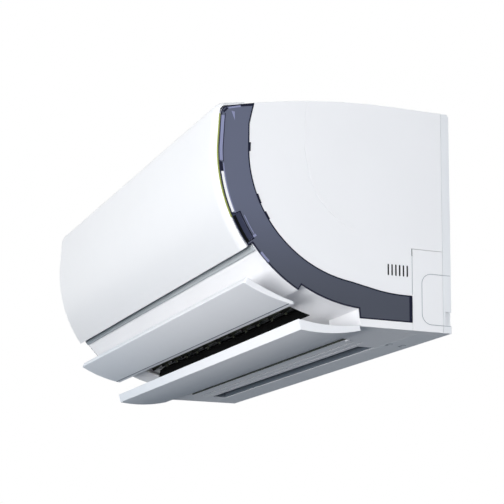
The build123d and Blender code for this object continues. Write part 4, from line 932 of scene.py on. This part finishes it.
def panel_ribs(row):
    """Stiffening ribs on the back of the panel: a row of curved ones and four long ones."""
    curved = prism(band_outline(RIB_R, RIB_DEEP, 57, 88, 16), RIB_LEFT, RIB_LEFT + RIB_T)
    in_row("panel_cross_ribs", curved, row, "panel_gloss", "panel", RIB_COUNT, RIB_PITCH)
    long_ones = [prism(band_outline(RIB_R, RIB_DEEP, angle, angle + 0.4, 2),
                       -LONG_RIB_X, LONG_RIB_X) for angle in LONG_RIB_ANGLES]
    thin("panel_long_ribs", "panel_gloss", "panel", *long_ones)


# ---- lines of the service covers -----------------------------------------------------
SERVICE_EDGE = -56.2     # their front edge
SERVICE_TOP = 107.0
SERVICE_LOW = 46.0       # top of the dark band's rear end
NOTCH = 10.0             # height of the dark notch at the top of the front edge
KNOCK_OUT = (-42.2, 9.3, 75.7, 13.7)     # front edge, bottom, top and corner radius
LINE_RISE = 0.08
LINE_WIDTH = 0.7
WALL_EDGE = -1.0         # where the lines end, just in front of the wall


def service_lines():
    """Shadow lines around the knock-out and the front edge of each service cover."""
    front, low, high, radius = KNOCK_OUT
    top, bottom = (WALL_EDGE, high), (WALL_EDGE, low)
    path = [Vector(top)]
    path += rounded_corner((front, high), top, (front, low), radius, 8)
    path += rounded_corner((front, low), (front, high), bottom, radius, 8)
    path.append(Vector(bottom))
    notch = SERVICE_TOP - NOTCH
    for side, name in ENDS:
        reach = end_reach(side, SUNK, LINE_RISE)
        thin("knock_out_line_" + name, "shadow_line", "casing", ribbon(path, LINE_WIDTH, *reach))
        edge = box(*reach, SERVICE_EDGE - 0.3, SERVICE_EDGE + 0.3, SERVICE_LOW, notch)
        thin("service_edge_" + name, "shadow_line", "casing", edge)
        dark = box(*reach, SERVICE_EDGE - 0.5, SERVICE_EDGE + 0.5, notch, SERVICE_TOP)
        thin("service_notch_" + name, "trim_edge", "casing", dark)


# ---- all pieces ----------------------------------------------------------------------
SOFTENED = (
    # node, finish, body and radius of its softened edges
    ("end_cover_right", "white_cover", "casing", 0.5),
    ("end_cover_left", "white_cover", "casing", 0.5),
    ("service_cover_right", "white_cover", "casing", 0.3),
    ("service_cover_left", "white_cover", "casing", 0.3),
    ("lower_cover", "white_cover", "casing", 0.4),
    ("bottom_cover", "white_cover", "casing", 0.5),
    ("rear_casing", "white_casing", "casing", 0.4),
    ("top_cover", "white_cover", "casing", 0.4),
    ("upper_flap", "flap_white", "upper_flap", 1.2),
    ("lower_flap", "flap_white", "lower_flap", 1.2),
    ("silver_strip", "silver", "casing", 0.3),
    ("side_trim_right", "dark_trim", "casing", 0.4),
    ("side_trim_left", "dark_trim", "casing", 0.4),
)

front_panel()
for cover in SOFTENED:
    softened(*cover)
band_details()
sensor_slots()
outlet_details()
underside_details()
flap_details()
shapes_in_row, shapes_on_spots = row_group(), spots_group()
fins(shapes_in_row)
filter_threads(shapes_in_row, shapes_on_spots)
screws(shapes_on_spots)
panel_ribs(shapes_in_row)
service_lines()


# ---- stage and light, in metres ------------------------------------------------------
FLOOR_Z = -2.4
FLOOR_HALF = 60.0
FLOOR_GLOW = 0.5                             # keeps the floor pale to the camera alone
FLOOR_SEEN = (0.86, 0.87, 0.88, 1)
FLOOR_BOUNCED = (0.08, 0.105, 0.14, 1)       # the colour of the light it sends up
SKY = (0.80, 0.90, 1.0, 1)
SKY_STRENGTH = 0.27
WHITE = (1, 1, 1, 1)
LAMPS = (
    # name, place, target, size, watts
    ("front", (0.45, -2.8, -0.74), (-0.05, -0.2, 0), (2.6, 1.0), 54),
    ("side", (2.9, -1.15, 0.0), (0.4, -0.2, 0), (1.6, 1.2), 40),
    ("fill", (2.3, -2.3, -0.55), (0.3, -0.2, 0), (1.4, 1.0), 26),
    ("back", (-1.7, 2.3, 0.9), (0, 0, 0), (2.0, 1.4), 55),
    ("top", (0.2, -0.6, 2.6), (0, -0.15, 0), (2.6, 1.6), 13),
)


def combined(tree, kind, first, second):
    """Product or maximum of two values, each of them a socket or a number."""
    maths = tree.nodes.new("ShaderNodeMath")
    maths.operation = kind
    for socket, value in zip(maths.inputs, (first, second)):
        if isinstance(value, bpy.types.NodeSocket):
            tree.links.new(value, socket)
        else:
            socket.default_value = value
    return maths.outputs["Value"]


def seen_directly(tree):
    """1 for what the camera, a gloss or a clear piece shows, 0 for soft bounced light."""
    path = tree.nodes.new("ShaderNodeLightPath").outputs
    first = combined(tree, "MAXIMUM", path["Is Camera Ray"], path["Is Glossy Ray"])
    return combined(tree, "MAXIMUM", first, path["Is Transmission Ray"])


def floor_material():
    """Pale floor that stays white to the camera and keeps the unit's shadow."""
    material, tree, shader = new_material("pale floor")
    shader.inputs["Roughness"].default_value = 0.8
    tone = mixed(tree, seen_directly(tree), FLOOR_BOUNCED, FLOOR_SEEN)
    tree.links.new(tone, shader.inputs["Base Color"])
    shader.inputs["Emission Color"].default_value = FLOOR_SEEN
    path = tree.nodes.new("ShaderNodeLightPath").outputs
    glow = combined(tree, "MULTIPLY", path["Is Camera Ray"], FLOOR_GLOW)
    tree.links.new(glow, shader.inputs["Emission Strength"])
    return material


def add_floor():
    """Wide plain floor under the unit."""
    half = FLOOR_HALF
    corners = [(x, y, FLOOR_Z) for x, y in ((-half, -half), (half, -half), (half, half),
                                            (-half, half))]
    mesh = bpy.data.meshes.new("floor")
    mesh.from_pydata(corners, [], [(0, 1, 2, 3)])
    mesh.materials.append(floor_material())
    add_object("floor", mesh)


def add_lamp(name, spot, target, size, watts):
    """Soft oblong lamp that shines from one spot to another."""
    data = bpy.data.lights.new(name, "AREA")
    data.shape = "RECTANGLE"
    data.size, data.size_y = size
    data.energy = watts
    lamp = add_object(name, data)
    lamp.location = spot
    direction = Vector(target) - Vector(spot)
    lamp.rotation_euler = direction.to_track_quat("-Z", "Y").to_euler()


def light_world():
    """Soft bluish light from all around, behind a background that shows as white."""
    world = bpy.data.worlds.new("studio")
    bpy.context.scene.world = world
    world.use_nodes = True
    tree = world.node_tree
    tree.nodes.clear()
    mix = tree.nodes.new("ShaderNodeMixShader")
    for i, (colour, strength) in enumerate(((SKY, SKY_STRENGTH), (WHITE, 1.0)), start=1):
        background = tree.nodes.new("ShaderNodeBackground")
        background.inputs["Color"].default_value = colour
        background.inputs["Strength"].default_value = strength
        tree.links.new(background.outputs["Background"], mix.inputs[i])
    tree.links.new(seen_directly(tree), mix.inputs["Fac"])
    result = tree.nodes.new("ShaderNodeOutputWorld")
    tree.links.new(mix.outputs["Shader"], result.inputs["Surface"])


add_floor()
light_world()
for lamp_settings in LAMPS:
    add_lamp(*lamp_settings)

bpy.context.scene.view_settings.view_transform = "Standard"
